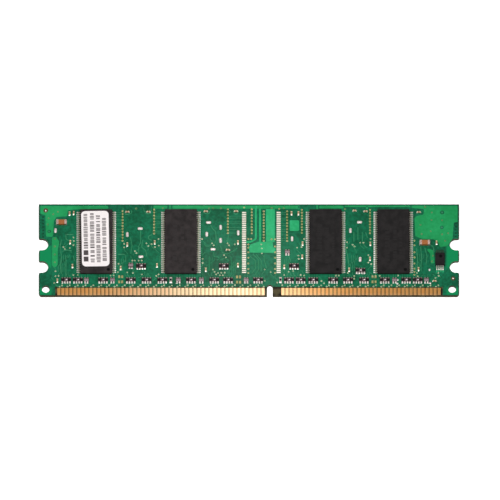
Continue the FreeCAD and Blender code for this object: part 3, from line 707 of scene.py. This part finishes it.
LEFT_POUR = [
    (-66.2, 31.2), (-44.9, 31.2), (-44.3, 30.2), (-54.4, 30.0), (-57.5, 29.7), (-57.7, 27.6),
    (-61.1, 27.3), (-61.9, 26.0), (-62.1, 21.1), (-62.5, 20.4), (-64.4, 20.5), (-64.6, 27.9),
    (-66.2, 28.5),
]
LEFT_STRIP = [
    (-62.5, 20.2), (-61.1, 20.5), (-60.2, 18.7), (-60.7, 15.6), (-60.7, 10.7), (-61.4, 9.9),
    (-62.2, 10.1), (-62.5, 10.7),
]
RIGHT_POUR = [
    (51.6, 31.3), (66.2, 31.3), (66.2, 25.6), (65.0, 25.4), (64.6, 19.8), (62.9, 17.2),
    (60.6, 16.9), (60.0, 18.8), (58.5, 19.6), (55.1, 19.6), (52.8, 20.7), (52.5, 26.9),
    (53.1, 27.6), (55.4, 28.2), (55.5, 30.1), (51.6, 30.5),
]
RIGHT_STRIP = [(55.8, 16.6), (58.5, 15.8), (58.9, 11.3), (57.7, 11.2), (57.5, 14.6)]
CENTRE_POUR = [
    (0.5, 17.8), (2.9, 18.7), (7.5, 18.7), (7.7, 16.9), (8.5, 16.3), (8.2, 14.9), (0.2, 15.0),
    (-0.1, 16.6),
]
FRONT_POURS = outlines(
    LEFT_POUR,
    LEFT_STRIP,
    RIGHT_POUR,
    RIGHT_STRIP,
    bar(-30.3, 30.2, -25.9, 31.3),
    bar(-24.3, 30.2, 15.9, 31.3),
    bar(22.3, 30.3, 30.0, 31.3),
    bar(30.4, 30.8, 51.2, 31.3),
    bar(-25.3, 30.0, -24.8, 31.5),
    bar(15.5, 30.0, 16.0, 31.5),
    bar(21.4, 30.0, 21.9, 31.5),
    bar(37.2, 30.0, 37.7, 31.5),
)

CENTRE_POURS = outlines(CENTRE_POUR, bar(5.4, 18.6, 8.2, 30.4), bar(12.9, 22.5, 15.9, 26.2))
BACK_POURS = outlines(
    bar(-66.0, 30.2, 66.0, 31.2),
    bar(-62.0, 20.6, -50.0, 28.6),
    bar(-62.0, 8.4, -46.0, 13.2),
    bar(-26.0, 8.4, -8.0, 12.4),
    bar(20.0, 8.4, 34.0, 13.2),
    bar(44.0, 20.6, 62.0, 28.6),
    bar(46.0, 8.4, 60.0, 12.4),
)


def pour(name, shapes, recipe, **sizes):
    """Lays a plate of copper inside each closed outline."""
    grow(name, seed_mesh(name, shapes, True), recipe, "solder_mask", **sizes)


plates = plates_recipe("copper_plates", POUR)
pour("pours_centre", CENTRE_POURS, plates_recipe("centre_plates", CENTRE), Corner=0.4 * MM)
pour("pours_front", FRONT_POURS, plates, Corner=0.4 * MM)
pour("pours_back", BACK_POURS, plates, Corner=0.6 * MM, Level=BACK - COPPER_RISE)

VIA_COLUMNS = [
    (-40.1, 29.4, 19.1, 11), (-30.1, 29.9, 21.6, 9), (-6.7, 30.0, 21.7, 9), (0.9, 30.0, 21.7, 9),
    (4.7, 29.3, 19.1, 11), (12.1, 29.3, 19.0, 11), (16.8, 29.8, 21.8, 9), (38.4, 29.8, 21.7, 9),
]
SIDE_VIAS = [(52.5, up) for up in (19.1, 17.5, 15.1, 13.3, 11.2, 9.4, 8.3, 7.3)]
SIDE_VIAS += [(-0.2, up) for up in (19.7, 17.8, 16.7, 15.1, 13.2, 11.2, 9.3, 7.9)]
SIDE_VIAS += [(8.3, up) for up in (19.6, 17.1, 15.1, 13.2, 11.2, 9.3, 7.9)]
SIDE_VIAS += [(0.7, 19.7), (7.2, 19.6), (-1.5, 30.6), (9.6, 30.2)]
COVERED_VIAS = [
    (-60.6, 29.1), (-62.1, 28.3), (-63.6, 26.9), (-63.8, 24.7), (-61.6, 19.8), (-61.6, 17.1),
    (-61.6, 14.3), (-61.6, 11.6), (55.9, 30.8), (58.0, 28.9), (57.9, 26.3), (54.4, 24.6),
    (57.7, 22.4), (54.8, 21.4), (61.3, 26.2), (61.3, 21.3), (63.2, 21.7), (62.3, 19.1),
    (58.4, 13.9), (58.1, 11.9), (-27.3, 30.4), (-12.7, 30.3), (-11.4, 30.4), (-8.9, 30.4),
    (7.2, 30.4), (11.0, 30.4), (30.5, 30.1), (-35.8, 30.3),
]
LOOSE_VIAS = [
    (-58.9, 16.9), (-58.4, 16.2), (-55.7, 20.2), (-55.5, 19.0), (-55.7, 17.6), (-56.9, 16.6),
    (-61.4, 8.5), (-61.4, 6.8), (-60.4, 6.9), (-61.8, 4.4), (-55.7, 7.2), (-54.3, 7.2),
    (-43.9, 7.0), (-42.9, 7.0), (-41.4, 11.1), (-41.6, 8.2), (-38.6, 8.1), (-39.6, 18.0),
    (-39.6, 16.8), (-36.8, 7.9), (-34.0, 7.4), (-36.2, 15.5), (-35.7, 14.8), (-37.0, 12.2),
    (-36.2, 12.2), (-35.0, 12.2), (-34.0, 12.2), (-32.5, 18.2), (-31.9, 17.3), (-30.9, 17.9),
    (-29.8, 16.9), (-28.7, 19.7), (-28.6, 17.4), (-29.4, 6.9), (-28.7, 7.4), (-14.9, 19.7),
    (-14.7, 12.8), (-14.7, 11.4), (-11.7, 18.2), (-11.2, 17.5), (-11.4, 9.1), (-10.9, 8.3),
    (-10.4, 7.4), (-9.8, 7.9), (-9.2, 7.1), (-8.8, 8.0), (-8.3, 7.1), (-7.7, 8.0), (-7.9, 14.1),
    (-7.3, 13.3), (-6.8, 18.2), (-6.3, 17.5), (-4.5, 17.8), (-4.4, 3.7), (3.9, 17.8),
    (4.1, 16.4), (4.1, 14.7), (5.0, 9.1), (5.0, 5.2), (6.9, 8.2), (9.0, 4.6), (11.2, 7.2),
    (12.6, 8.3), (14.0, 8.6), (16.4, 7.2), (17.5, 7.0), (17.5, 19.7), (15.3, 16.7), (15.7, 13.9),
    (15.8, 12.8), (16.7, 16.9), (30.5, 19.1), (31.1, 18.6), (31.1, 16.7), (32.9, 17.7),
    (33.5, 17.1), (35.3, 18.4), (36.3, 18.4), (31.4, 7.9), (27.6, 7.0), (28.5, 7.0), (23.0, 5.1),
    (23.8, 4.3), (33.4, 6.8), (33.4, 5.9), (38.6, 19.7), (37.9, 14.1), (37.9, 11.5),
    (38.8, 11.0), (39.2, 6.8), (40.2, 6.9), (41.5, 6.9), (47.3, 7.0), (53.3, 7.9), (53.5, 6.8),
    (60.1, 7.9), (60.2, 6.9), (59.2, 6.2),
]
TEST_POINTS = [(-64.5, 29.6, 0.85), (64.8, 6.0, 0.7)]
GREEN_RINGS = [(-63.4, 22.3, 0.65), (61.3, 28.9, 0.75), (61.2, 23.7, 0.7)]
SOLDER_DOTS = [(47.2, 5.5), (47.1, 4.2), (57.5, 4.4), (57.3, 9.0)]
TEST_PIN = 0.3


def column_places():
    for across, top, bottom, count in VIA_COLUMNS:
        for i in range(count):
            yield across, top + (bottom - top) * i / (count - 1)


def contact_places():
    """The middle of each front contact, across the board."""
    for node in ("contacts_front_left", "contacts_front_right"):
        low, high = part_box(node)
        count = round((high.x - low.x) / CONTACT_PITCH)
        pitch = (high.x - low.x - CONTACT_WIDTH) / count
        for i in range(count + 1):
            yield (low.x + CONTACT_WIDTH / 2 + pitch * i) / MM


def contact_vias():
    for i, across in enumerate(contact_places()):
        yield across + 0.25 * (-1) ** i, 3.15 + 0.45 * (i % 2) + chance.uniform(-0.05, 0.05)


def via_seeds(name, places, z, sizes):
    points = [[spot(across, up, z)] for across, up in places]
    return seed_mesh(name, points, False, {"size": [(s, s, 1.0) for s in sizes]})


bright_vias = list(column_places()) + SIDE_VIAS
contact_via_places = list(contact_vias())
small_vias = LOOSE_VIAS + contact_via_places
# Kind, places, recipe, smallest size of one against the usual, radius.
VIA_KINDS = (
    ("bright", bright_vias, rings_recipe("plated_rings", VIA, WELL), 0.95, 0.29),
    ("small", small_vias, rings_recipe("pale_rings", PALE_VIA, WELL), 0.9, 0.25),
    ("covered", COVERED_VIAS, rings_recipe("covered_rings", COVERED, TRACE), 0.9, 0.34),
)
for side, z in (("front", FRONT), ("back", BACK)):
    for kind, places, recipe, smallest, radius in VIA_KINDS:
        sizes = [chance.uniform(smallest, 1.1) for _ in places]
        seeds = via_seeds(kind, places, z, sizes)
        grow(f"vias_{kind}_{side}", seeds, recipe, "solder_mask", Radius=radius * MM)

RING_KINDS = (
    ("test_points", TEST_POINTS, rings_recipe("test_rings", TEST_RING, TEST_MIDDLE, 20)),
    ("green_rings", GREEN_RINGS, rings_recipe("green_rings", MASK, TRACE, 20)),
)
for name, places, recipe in RING_KINDS:
    points = [[spot(across, up)] for across, up, _ in places]
    sizes = {"size": [(radius, radius, 1.0) for _, _, radius in places]}
    grow(name, seed_mesh(name, points, False, sizes), recipe, "solder_mask", Radius=1.0 * MM)


# ---------------------------------------------------------------- tracks

WIDE_TRACKS = [
    [(2.2, 31.2), (2.2, 19.7), (0.5, 18.7), (-0.9, 18.7)],
    [(3.5, 30.2), (3.5, 18.7)],
]
HAND_TRACKS = [
    [(-58.3, 21.3), (-55.7, 21.3)],
    [(-58.1, 21.3), (-58.1, 19.7), (-56.3, 18.7)],
    [(-59.5, 19.5), (-60.0, 17.1), (-59.5, 13.9), (-59.8, 11.1), (-59.5, 7.6)],
    [(-58.1, 13.9), (-58.1, 6.8)],
    [(-59.2, 15.3), (-58.3, 16.0), (-56.3, 15.7)],
    [(-61.8, 4.4), (-60.6, 3.0)],
    [(-55.7, 13.9), (-55.4, 12.1)],
    [(-41.6, 14.4), (-39.1, 14.4), (-39.1, 11.8)],
    [(-37.6, 20.3), (-37.1, 17.4), (-37.5, 14.6)],
    [(-34.4, 22.7), (-34.4, 18.5), (-35.0, 17.1), (-35.0, 14.6)],
    [(-33.4, 30.5), (-33.3, 29.4), (-32.3, 28.4), (-31.1, 28.7), (-30.9, 31.2)],
    [(-40.0, 30.6), (-39.9, 28.6), (-38.6, 28.2), (-37.2, 28.6), (-37.2, 29.6)],
    [(-33.7, 19.4), (-34.1, 16.9), (-32.8, 15.8), (-32.4, 13.7)],
    [(-30.8, 21.2), (-31.8, 20.8), (-32.0, 19.8), (-30.8, 19.2)],
    [(-14.4, 29.1), (-13.9, 28.5), (-12.7, 28.4), (-12.2, 29.8)],
    [(-12.2, 24.6), (-11.6, 23.4), (-10.6, 22.3), (-10.4, 19.4), (-10.8, 18.4)],
    [(-13.9, 18.4), (-14.2, 17.3), (-12.6, 17.1), (-11.9, 18.0)],
    [(-15.0, 16.6), (-15.0, 13.7)],
    [(-13.9, 15.1), (-15.2, 13.7)],
    [(-12.6, 13.7), (-12.6, 8.7)],
    [(-11.2, 15.5), (-11.4, 13.3), (-9.6, 13.7), (-9.3, 12.3)],
    [(-10.3, 12.4), (-7.6, 13.0), (-6.3, 12.3)],
    [(-9.0, 17.3), (-8.6, 15.1), (-7.0, 14.4), (-5.0, 15.5), (-3.7, 16.6)],
    [(-6.5, 21.2), (-6.8, 18.4)],
    [(-5.7, 13.7), (-5.4, 10.8), (-6.0, 9.0)],
    [(-5.0, 29.1), (-4.5, 28.2), (-3.5, 28.4), (-3.3, 30.6), (-3.2, 31.3)],
    [(0.3, 13.7), (2.0, 12.3), (2.0, 9.4), (1.0, 7.9)],
    [(1.3, 14.4), (3.0, 12.6), (3.0, 9.0), (2.0, 7.2)],
    [(2.3, 14.4), (3.9, 12.3), (3.9, 8.7)],
    [(4.9, 14.2), (4.9, 12.3), (5.6, 9.7)],
    [(12.7, 13.7), (13.2, 12.3)],
    [(13.8, 9.0), (14.5, 6.8)],
    [(30.7, 16.6), (31.3, 13.7), (31.7, 10.8)],
    [(33.3, 22.0), (33.3, 18.8)],
    [(34.6, 23.8), (34.6, 19.5)],
    [(36.0, 22.0), (36.0, 18.8)],
    [(37.0, 22.0), (37.6, 20.2)],
    [(53.2, 16.6), (53.5, 11.5), (53.2, 8.4)],
    [(54.5, 17.0), (54.8, 12.3), (54.5, 10.1)],
    [(55.8, 16.6), (56.5, 13.7), (56.2, 10.8)],
    [(57.2, 18.1), (58.5, 17.0), (58.8, 15.2)],
    [(60.2, 8.6), (60.2, 6.8), (58.5, 5.6)],
]


def solids_of(node):
    """The middle and the size, in millimetres across and up, of each separate solid of a CAD node."""
    shape = bmesh.new()
    shape.from_mesh(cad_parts[node].data)
    bmesh.ops.remove_doubles(shape, verts=shape.verts, dist=1e-7)
    left = set(shape.verts)
    found = []
    while left:
        group = {left.pop()}
        edge = list(group)
        while edge:
            point = edge.pop()
            for line in point.link_edges:
                other = line.other_vert(point)
                if other in left:
                    left.remove(other)
                    group.add(other)
                    edge.append(other)
        xs = [point.co.x for point in group]
        ys = [point.co.y for point in group]
        middle = ((min(xs) + max(xs)) / 2 / MM, ((min(ys) + max(ys)) / 2 - EDGE_Y) / MM)
        size = ((max(xs) - min(xs)) / MM, (max(ys) - min(ys)) / MM)
        found.append((middle, size))
    shape.free()
    return sorted(found)


def lead_places(package):
    """The outer end of each solder joint of a package: across, up, and which side it is on."""
    low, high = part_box(f"{package}_case")
    middle = (low.x + high.x) / 2 / MM
    for (across, up), (wide, _) in solids_of(f"{package}_solder"):
        side = 1 if across > middle else -1
        yield across + side * wide / 2, up, side


def contact_tracks():
    """From each contact up to its via, and on to the nearest resistor terminal above it."""
    vias = sorted(contact_via_places)
    for across, (via, up) in zip(contact_places(), vias):
        yield [(across, CONTACT_TOP_UP), (across, up - 0.35), (via, up)]
    lowest, highest = NEAR_TERMINALS_UP
    for (across, up), _ in solids_of("resistor_array_solder"):
        if not lowest < up < highest:
            continue
        via = min(vias, key=lambda place: abs(place[0] - across))
        yield [(across, up), (across, up - 0.5), (via[0], via[1] + 0.4), via]


def array_tracks():
    """From the upper terminals of the arrays up to the chips and the free board between them."""
    free = (
        (-61.0, -54.6), (-42.0, -28.0), (-15.2, -2.4), (10.4, 17.9), (30.7, 39.4), (52.2, 60.0),
    )
    lowest, highest = FAR_TERMINALS_UP
    for (across, up), _ in solids_of("resistor_array_solder"):
        if not lowest < up < highest:
            continue
        open_board = any(low < across < high for low, high in free)
        top = chance.uniform(7.2, 8.6) if open_board else 7.4
        shift = chance.choice((-0.6, 0.0, 0.6)) if open_board else 0.0
        yield [(across, up), (across, up + 0.7), (across + shift, up + 1.2), (across + shift, top)]


def via_tracks():
    """From the columns of vias across to the nearest row of leads."""
    rows = [place for chip in CHIPS for place in lead_places(chip)]
    low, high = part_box("spare_chip_lands")
    rows += [(low.x / MM, up, -1) for (a, up), _ in solids_of("spare_chip_lands") if a < 0]
    rows += [(high.x / MM, up, 1) for (a, up), _ in solids_of("spare_chip_lands") if a > 4]
    for across, up in column_places():
        facing = [row for row in rows if (across - row[0]) * row[2] > 0]
        near = min(facing, key=lambda row: math.hypot(row[0] - across, (row[1] - up) * 2))
        reach = abs(near[0] - across)
        if reach < 5.0:
            bend = min(abs(near[1] - up), reach / 2) * (1 if near[0] > across else -1)
            yield [(across, up), (across + bend, near[1]), (near[0], near[1])]


def branch_tracks():
    """Short dog-legs that leave the loose vias and end at other layers."""
    for across, up in LOOSE_VIAS:
        way = chance.choice((-1, 1))
        climb = chance.uniform(0.8, 2.4)
        if up + way * climb < 4.0 or up + way * climb > 20.5:
            way = -way
        side = chance.choice((-1, 1)) * chance.uniform(0.4, 1.3)
        knee = up + way * climb * 0.4
        end = across + side
        yield [(across, up), (across, knee), (end, knee + way * abs(side)), (end, up + way * climb)]


def bundle_tracks():
    """Groups of near-parallel tracks that run between the chips and the resistors."""
    spacing = 0.62
    bundles = (
        (-60.5, 8.2, 1.0, 5, 6.0), (-41.9, 8.6, 0.9, 4, 4.2), (-27.5, 8.8, -0.9, 4, 5.0),
        (-13.6, 8.6, 0.9, 4, 4.6), (-6.2, 7.8, 0.8, 4, 4.0), (10.6, 8.2, 0.8, 4, 4.6),
        (31.6, 8.6, 0.9, 4, 5.4), (52.8, 8.4, 0.8, 4, 6.2),
    )
    for across, up, lean, count, height in bundles:
        for i in range(count):
            start = across + spacing * i
            end = start + lean
            knee = up + height * (0.35 + 0.1 * i)
            yield [(start, up), (start, knee), (end, knee + abs(lean)), (end, up + height)]


def eeprom_tracks():
    """Down from the near row of the settings memory's leads."""
    for (across, up), (_, tall) in solids_of("eeprom_solder"):
        if up < SETTINGS_MEMORY_UP:
            yield [(across, up - tall / 2), (across, up - tall / 2 - 0.8)]


def back_tracks():
    """On the back, from each column of vias to the next one, and from the contacts to their vias."""
    for near, far in zip(VIA_COLUMNS, VIA_COLUMNS[1:]):
        count = min(near[3], far[3])
        for i in range(count):
            start = near[1] + (near[2] - near[1]) * i / (near[3] - 1)
            end = far[1] + (far[2] - far[1]) * i / (far[3] - 1)
            bend = near[0] + 1.0 + 0.1 * i
            yield [(near[0], start), (bend, start), (bend + abs(end - start), end), (far[0], end)]
    for across, (via, up) in zip(contact_places(), sorted(contact_via_places)):
        start = (across, CONTACT_TOP_UP)
        yield [start, (across, up - 0.35), (via, up), (via, up + 1.5), (via + 0.8, up + 2.3)]


def column_lines():
    return [[(across, top), (across, bottom)] for across, top, bottom, _ in VIA_COLUMNS]


def corners_only(line):
    """The line without the points that its neighbours already run straight through."""
    kept = [line[0]]
    for point, after in zip(line[1:], line[2:] + [None]):
        before = kept[-1]
        if after is None:
            kept.append(point)
            continue
        right = (point[0] - before[0]) * (after[1] - before[1])
        left = (point[1] - before[1]) * (after[0] - before[0])
        if abs(right - left) > 1e-3:
            kept.append(point)
    return kept


def lay(name, lines, recipe, z=None, **sizes):
    """Lays tracks along lines given across and up."""
    lines = [corners_only(line) for line in lines]
    seeds = seed_mesh(name, [[spot(across, up, z) for across, up in line] for line in lines])
    return grow(name, seeds, recipe, "solder_mask", **sizes)


tracks = tracks_recipe("lacquered_tracks", TRACE)
bright_tracks = tracks_recipe("bright_tracks", CENTRE)
barred = tracks_recipe("via_bars", BARRED)
fine = list(contact_tracks()) + list(array_tracks()) + list(via_tracks())
lay("tracks_fine", fine, tracks, Width=0.16 * MM, Rise=COPPER_RISE * 0.8, Bend=0.2 * MM)
lay("tracks_front", HAND_TRACKS, tracks, Width=0.34 * MM, Rise=COPPER_RISE * 0.9, Bend=0.7 * MM)
branches = list(branch_tracks()) + list(bundle_tracks())
lay("tracks_branch", branches, tracks, Width=0.2 * MM, Rise=COPPER_RISE * 0.7, Bend=0.3 * MM)
lay("tracks_wide", WIDE_TRACKS, bright_tracks, Width=0.62 * MM, Rise=COPPER_RISE * 1.1, Bend=1.0 * MM)
lay("tracks_eeprom", list(eeprom_tracks()), bright_tracks, Width=0.34 * MM, Rise=COPPER_RISE, Bend=0.1 * MM)
lay("tracks_back", list(back_tracks()), tracks, BACK, Width=0.2 * MM, Rise=COPPER_RISE, Bend=0.3 * MM)
lay("via_bars", column_lines(), barred, Width=0.46 * MM, Rise=COPPER_RISE, Bend=0.1 * MM)


# ---------------------------------------------------------------- label and prints


def turned(point, about, angle):
    return about + Matrix.Rotation(angle, 3, "Z") @ (point - about)


blocks = {}


def marks(name, finish, slot, places, chamfer=0.9):
    """Small raised marks: middle, size, and turn in radians of each."""
    if finish not in blocks:
        blocks[finish] = blocks_recipe(f"marks_{finish.material.name}", finish)
    points = [[middle] for middle, _, _ in places]
    extras = {"size": [tuple(size) for _, size, _ in places], "turn": [turn for _, _, turn in places]}
    return grow(name, seed_mesh(name, points, False, extras), blocks[finish], slot, Chamfer=chamfer)


def label_print():
    """Four rows of plain bars along the label, and two plain squares."""
    low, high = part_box("label_sticker")
    middle = (low + high) / 2
    turn = math.radians(1.0)
    width = 8.7 * MM
    length = 19.2 * MM
    places = []

    def put(across, along, wide, tall):
        place = Vector((middle.x - width / 2 + across, middle.y - length / 2 + along, high.z))
        size = Vector((wide, tall, PRINT_RISE))
        places.append((turned(place, middle, turn), size, turn))

    rows = ((1.33, 6.2, 17.6), (3.4, 1.4, 17.9), (5.3, 1.4, 17.4), (7.2, 1.8, 16.6))
    for across, start, end in rows:
        along = start
        while along < end:
            strokes = chance.choice((1, 2, 2, 3))
            stroke = 0.24 if strokes > 1 else chance.choice((0.3, 0.5))
            tall = chance.choice((1.15, 1.3, 1.35))
            for _ in range(strokes):
                put(across * MM, (along + stroke / 2) * MM, tall * MM, stroke * MM)
                along += stroke + 0.14
            along += chance.choice((0.12, 0.16, 0.2, 0.6))
    for start in (1.7, 3.9):
        put(1.3 * MM, (start + 0.85) * MM, 1.5 * MM, 1.7 * MM)
    marks("label_print", INK, "label_paper", places)


label_print()


def edge_ticks():
    """Short plain copper dashes in the dark strips at both ends."""
    places = []
    size = Vector((0.55 * MM, 0.5 * MM, COPPER_RISE))
    gap = 1.15
    for across, start, end in ((-65.3, 20.4, 27.8), (65.6, 20.6, 25.2)):
        up = start
        while up < end:
            places.append((spot(across, up), size, 0.0))
            up += gap
    marks("edge_ticks", DARK_TICK, "solder_mask", places)


def etched_rows():
    """Faint plain bars on the bare chips, as if cut by a laser."""
    rows = ((-1.9, -6.5, 6.5, 1.5), (0.5, -7.5, 5.0, 1.1), (2.4, -5.0, 4.0, 0.9))
    for package, finish in (("chip_2", LIT_CASE_ETCH), ("chip_3", BLACK_ETCH), ("chip_4", BLACK_ETCH)):
        low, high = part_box(f"{package}_case")
        middle = (low + high) / 2
        places = []
        for across, start, end, tall in rows:
            along = start
            while along < end:
                run = chance.choice((0.5, 0.7, 0.9))
                place = Vector((middle.x + across * MM, middle.y + along * MM, high.z))
                places.append((place, Vector((tall * MM, run * MM, PRINT_RISE / 2)), 0.0))
                along += run + chance.choice((0.25, 0.35, 0.9))
        marks(f"{package}_etching", finish, "mould_compound", places)


def resistor_marks():
    """A pale block and a dot on the coat of each array."""
    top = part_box("resistor_array_coats")[1].z
    block = Vector((0.95 * MM, 0.56 * MM, PRINT_RISE))
    dot = Vector((0.4 * MM, 0.3 * MM, PRINT_RISE))
    coats = [middle for middle, _ in solids_of("resistor_array_coats")]
    blocks_wanted = [(spot(across, up, top), block, 0.0) for across, up in coats]
    above = top + PRINT_RISE
    dots_wanted = [(spot(across + 0.15, up + 0.1, above), dot, 0.0) for across, up in coats]
    marks("resistor_marks", MARK, "resistor_coat", blocks_wanted)
    marks("resistor_dots", DOT, "resistor_coat", dots_wanted)


def is_near_side(up):
    """Whether a terminal is on the side of its array that faces the contacts."""
    nearest = min(ARRAY_ROWS, key=lambda row: abs(abs(row - up) - TERMINAL_MIDDLE))
    return up < nearest


def solder_drops():
    """A rounded drop of solder at the outer end of each resistor terminal on the side facing the contacts,
    and on the loose solder dots and test points.
    """
    points = []
    sizes = []
    for (across, up), (wide, tall) in solids_of("resistor_array_solder"):
        if is_near_side(up):
            points.append([spot(across, up)])
            sizes.append((wide * 0.56 * MM, tall * 0.56 * MM, 0.22 * MM))
    for across, up in SOLDER_DOTS:
        points.append([spot(across, up)])
        sizes.append((0.38 * MM, 0.38 * MM, 0.16 * MM))
    for across, up, _ in TEST_POINTS:
        points.append([spot(across, up)])
        sizes.append((TEST_PIN * MM, TEST_PIN * MM, 0.1 * MM))
    recipe = domes_recipe("solder_drops", SOLDER)
    grow("solder_drops", seed_mesh("solder_drops", points, False, {"size": sizes}), recipe, "solder")


edge_ticks()
etched_rows()
resistor_marks()
solder_drops()


# ---------------------------------------------------------------- floor, light and camera

floor_z = BACK - 0.08 * MM
mesh = bpy.data.meshes.new("floor")
reach = 1.5
mesh.from_pydata(
    [(-reach, -reach, floor_z), (reach, -reach, floor_z), (reach, reach, floor_z), (-reach, reach, floor_z)],
    [],
    [(0, 1, 2, 3)],
)
mesh.materials.append(FLOOR.material)
floor = bpy.data.objects.new("floor", mesh)
bpy.context.scene.collection.objects.link(floor)

VIEW_WIDTH = 0.15865
VIEW_TILT = 24
SKY_STRENGTH = 0.16
aim = Vector((0.33 * MM, 0.0, FRONT))


def soft_light(name, azimuth, elevation, distance, size, watts, target=aim):
    """A square soft box. Azimuth 0 is in front of the contact edge, 90 to the right."""
    across = math.radians(azimuth)
    above = math.radians(elevation)
    level = math.cos(above)
    way = Vector((math.sin(across) * level, -math.cos(across) * level, math.sin(above)))
    light = bpy.data.lights.new(name, "AREA")
    light.shape = "RECTANGLE"
    light.size, light.size_y = size
    light.energy = watts
    item = bpy.data.objects.new(name, light)
    item.location = target + way * distance
    item.rotation_mode = "QUATERNION"
    item.rotation_quaternion = (-way).to_track_quat("-Z", "Y")
    item.visible_camera = False
    bpy.context.scene.collection.objects.link(item)


soft_light("overhead_box", 0, 84, 0.42, (0.24, 0.2), 1.1, spot(-4.0, 12.0))
soft_light("front_box", 0, 46, 0.9, (0.5, 0.5), 2.4)
soft_light("strip_box", 180, 66, 0.16, (0.03, 0.05), 0.005, spot(-16.0, 2.0))
soft_light("centre_box", 180, 74, 0.09, (0.03, 0.03), 0.008, spot(0.0, 18.0))

world = bpy.data.worlds.new("studio")
bpy.context.scene.world = world
world.use_nodes = True
sky = world.node_tree.nodes["Background"].inputs
sky["Color"].default_value = (1.0, 1.0, 1.0, 1.0)
sky["Strength"].default_value = SKY_STRENGTH
bpy.context.scene.view_settings.view_transform = "Standard"

camera = bpy.data.cameras.new("camera")
camera.type = "ORTHO"
camera.ortho_scale = VIEW_WIDTH
camera.clip_start = 0.01
camera.clip_end = 10.0
viewer = bpy.data.objects.new("camera", camera)
tilt = math.radians(VIEW_TILT)
viewer.location = aim + Vector((0.0, -math.sin(tilt), math.cos(tilt)))
viewer.rotation_euler = (tilt, 0.0, 0.0)
bpy.context.scene.collection.objects.link(viewer)
bpy.context.scene.camera = viewer
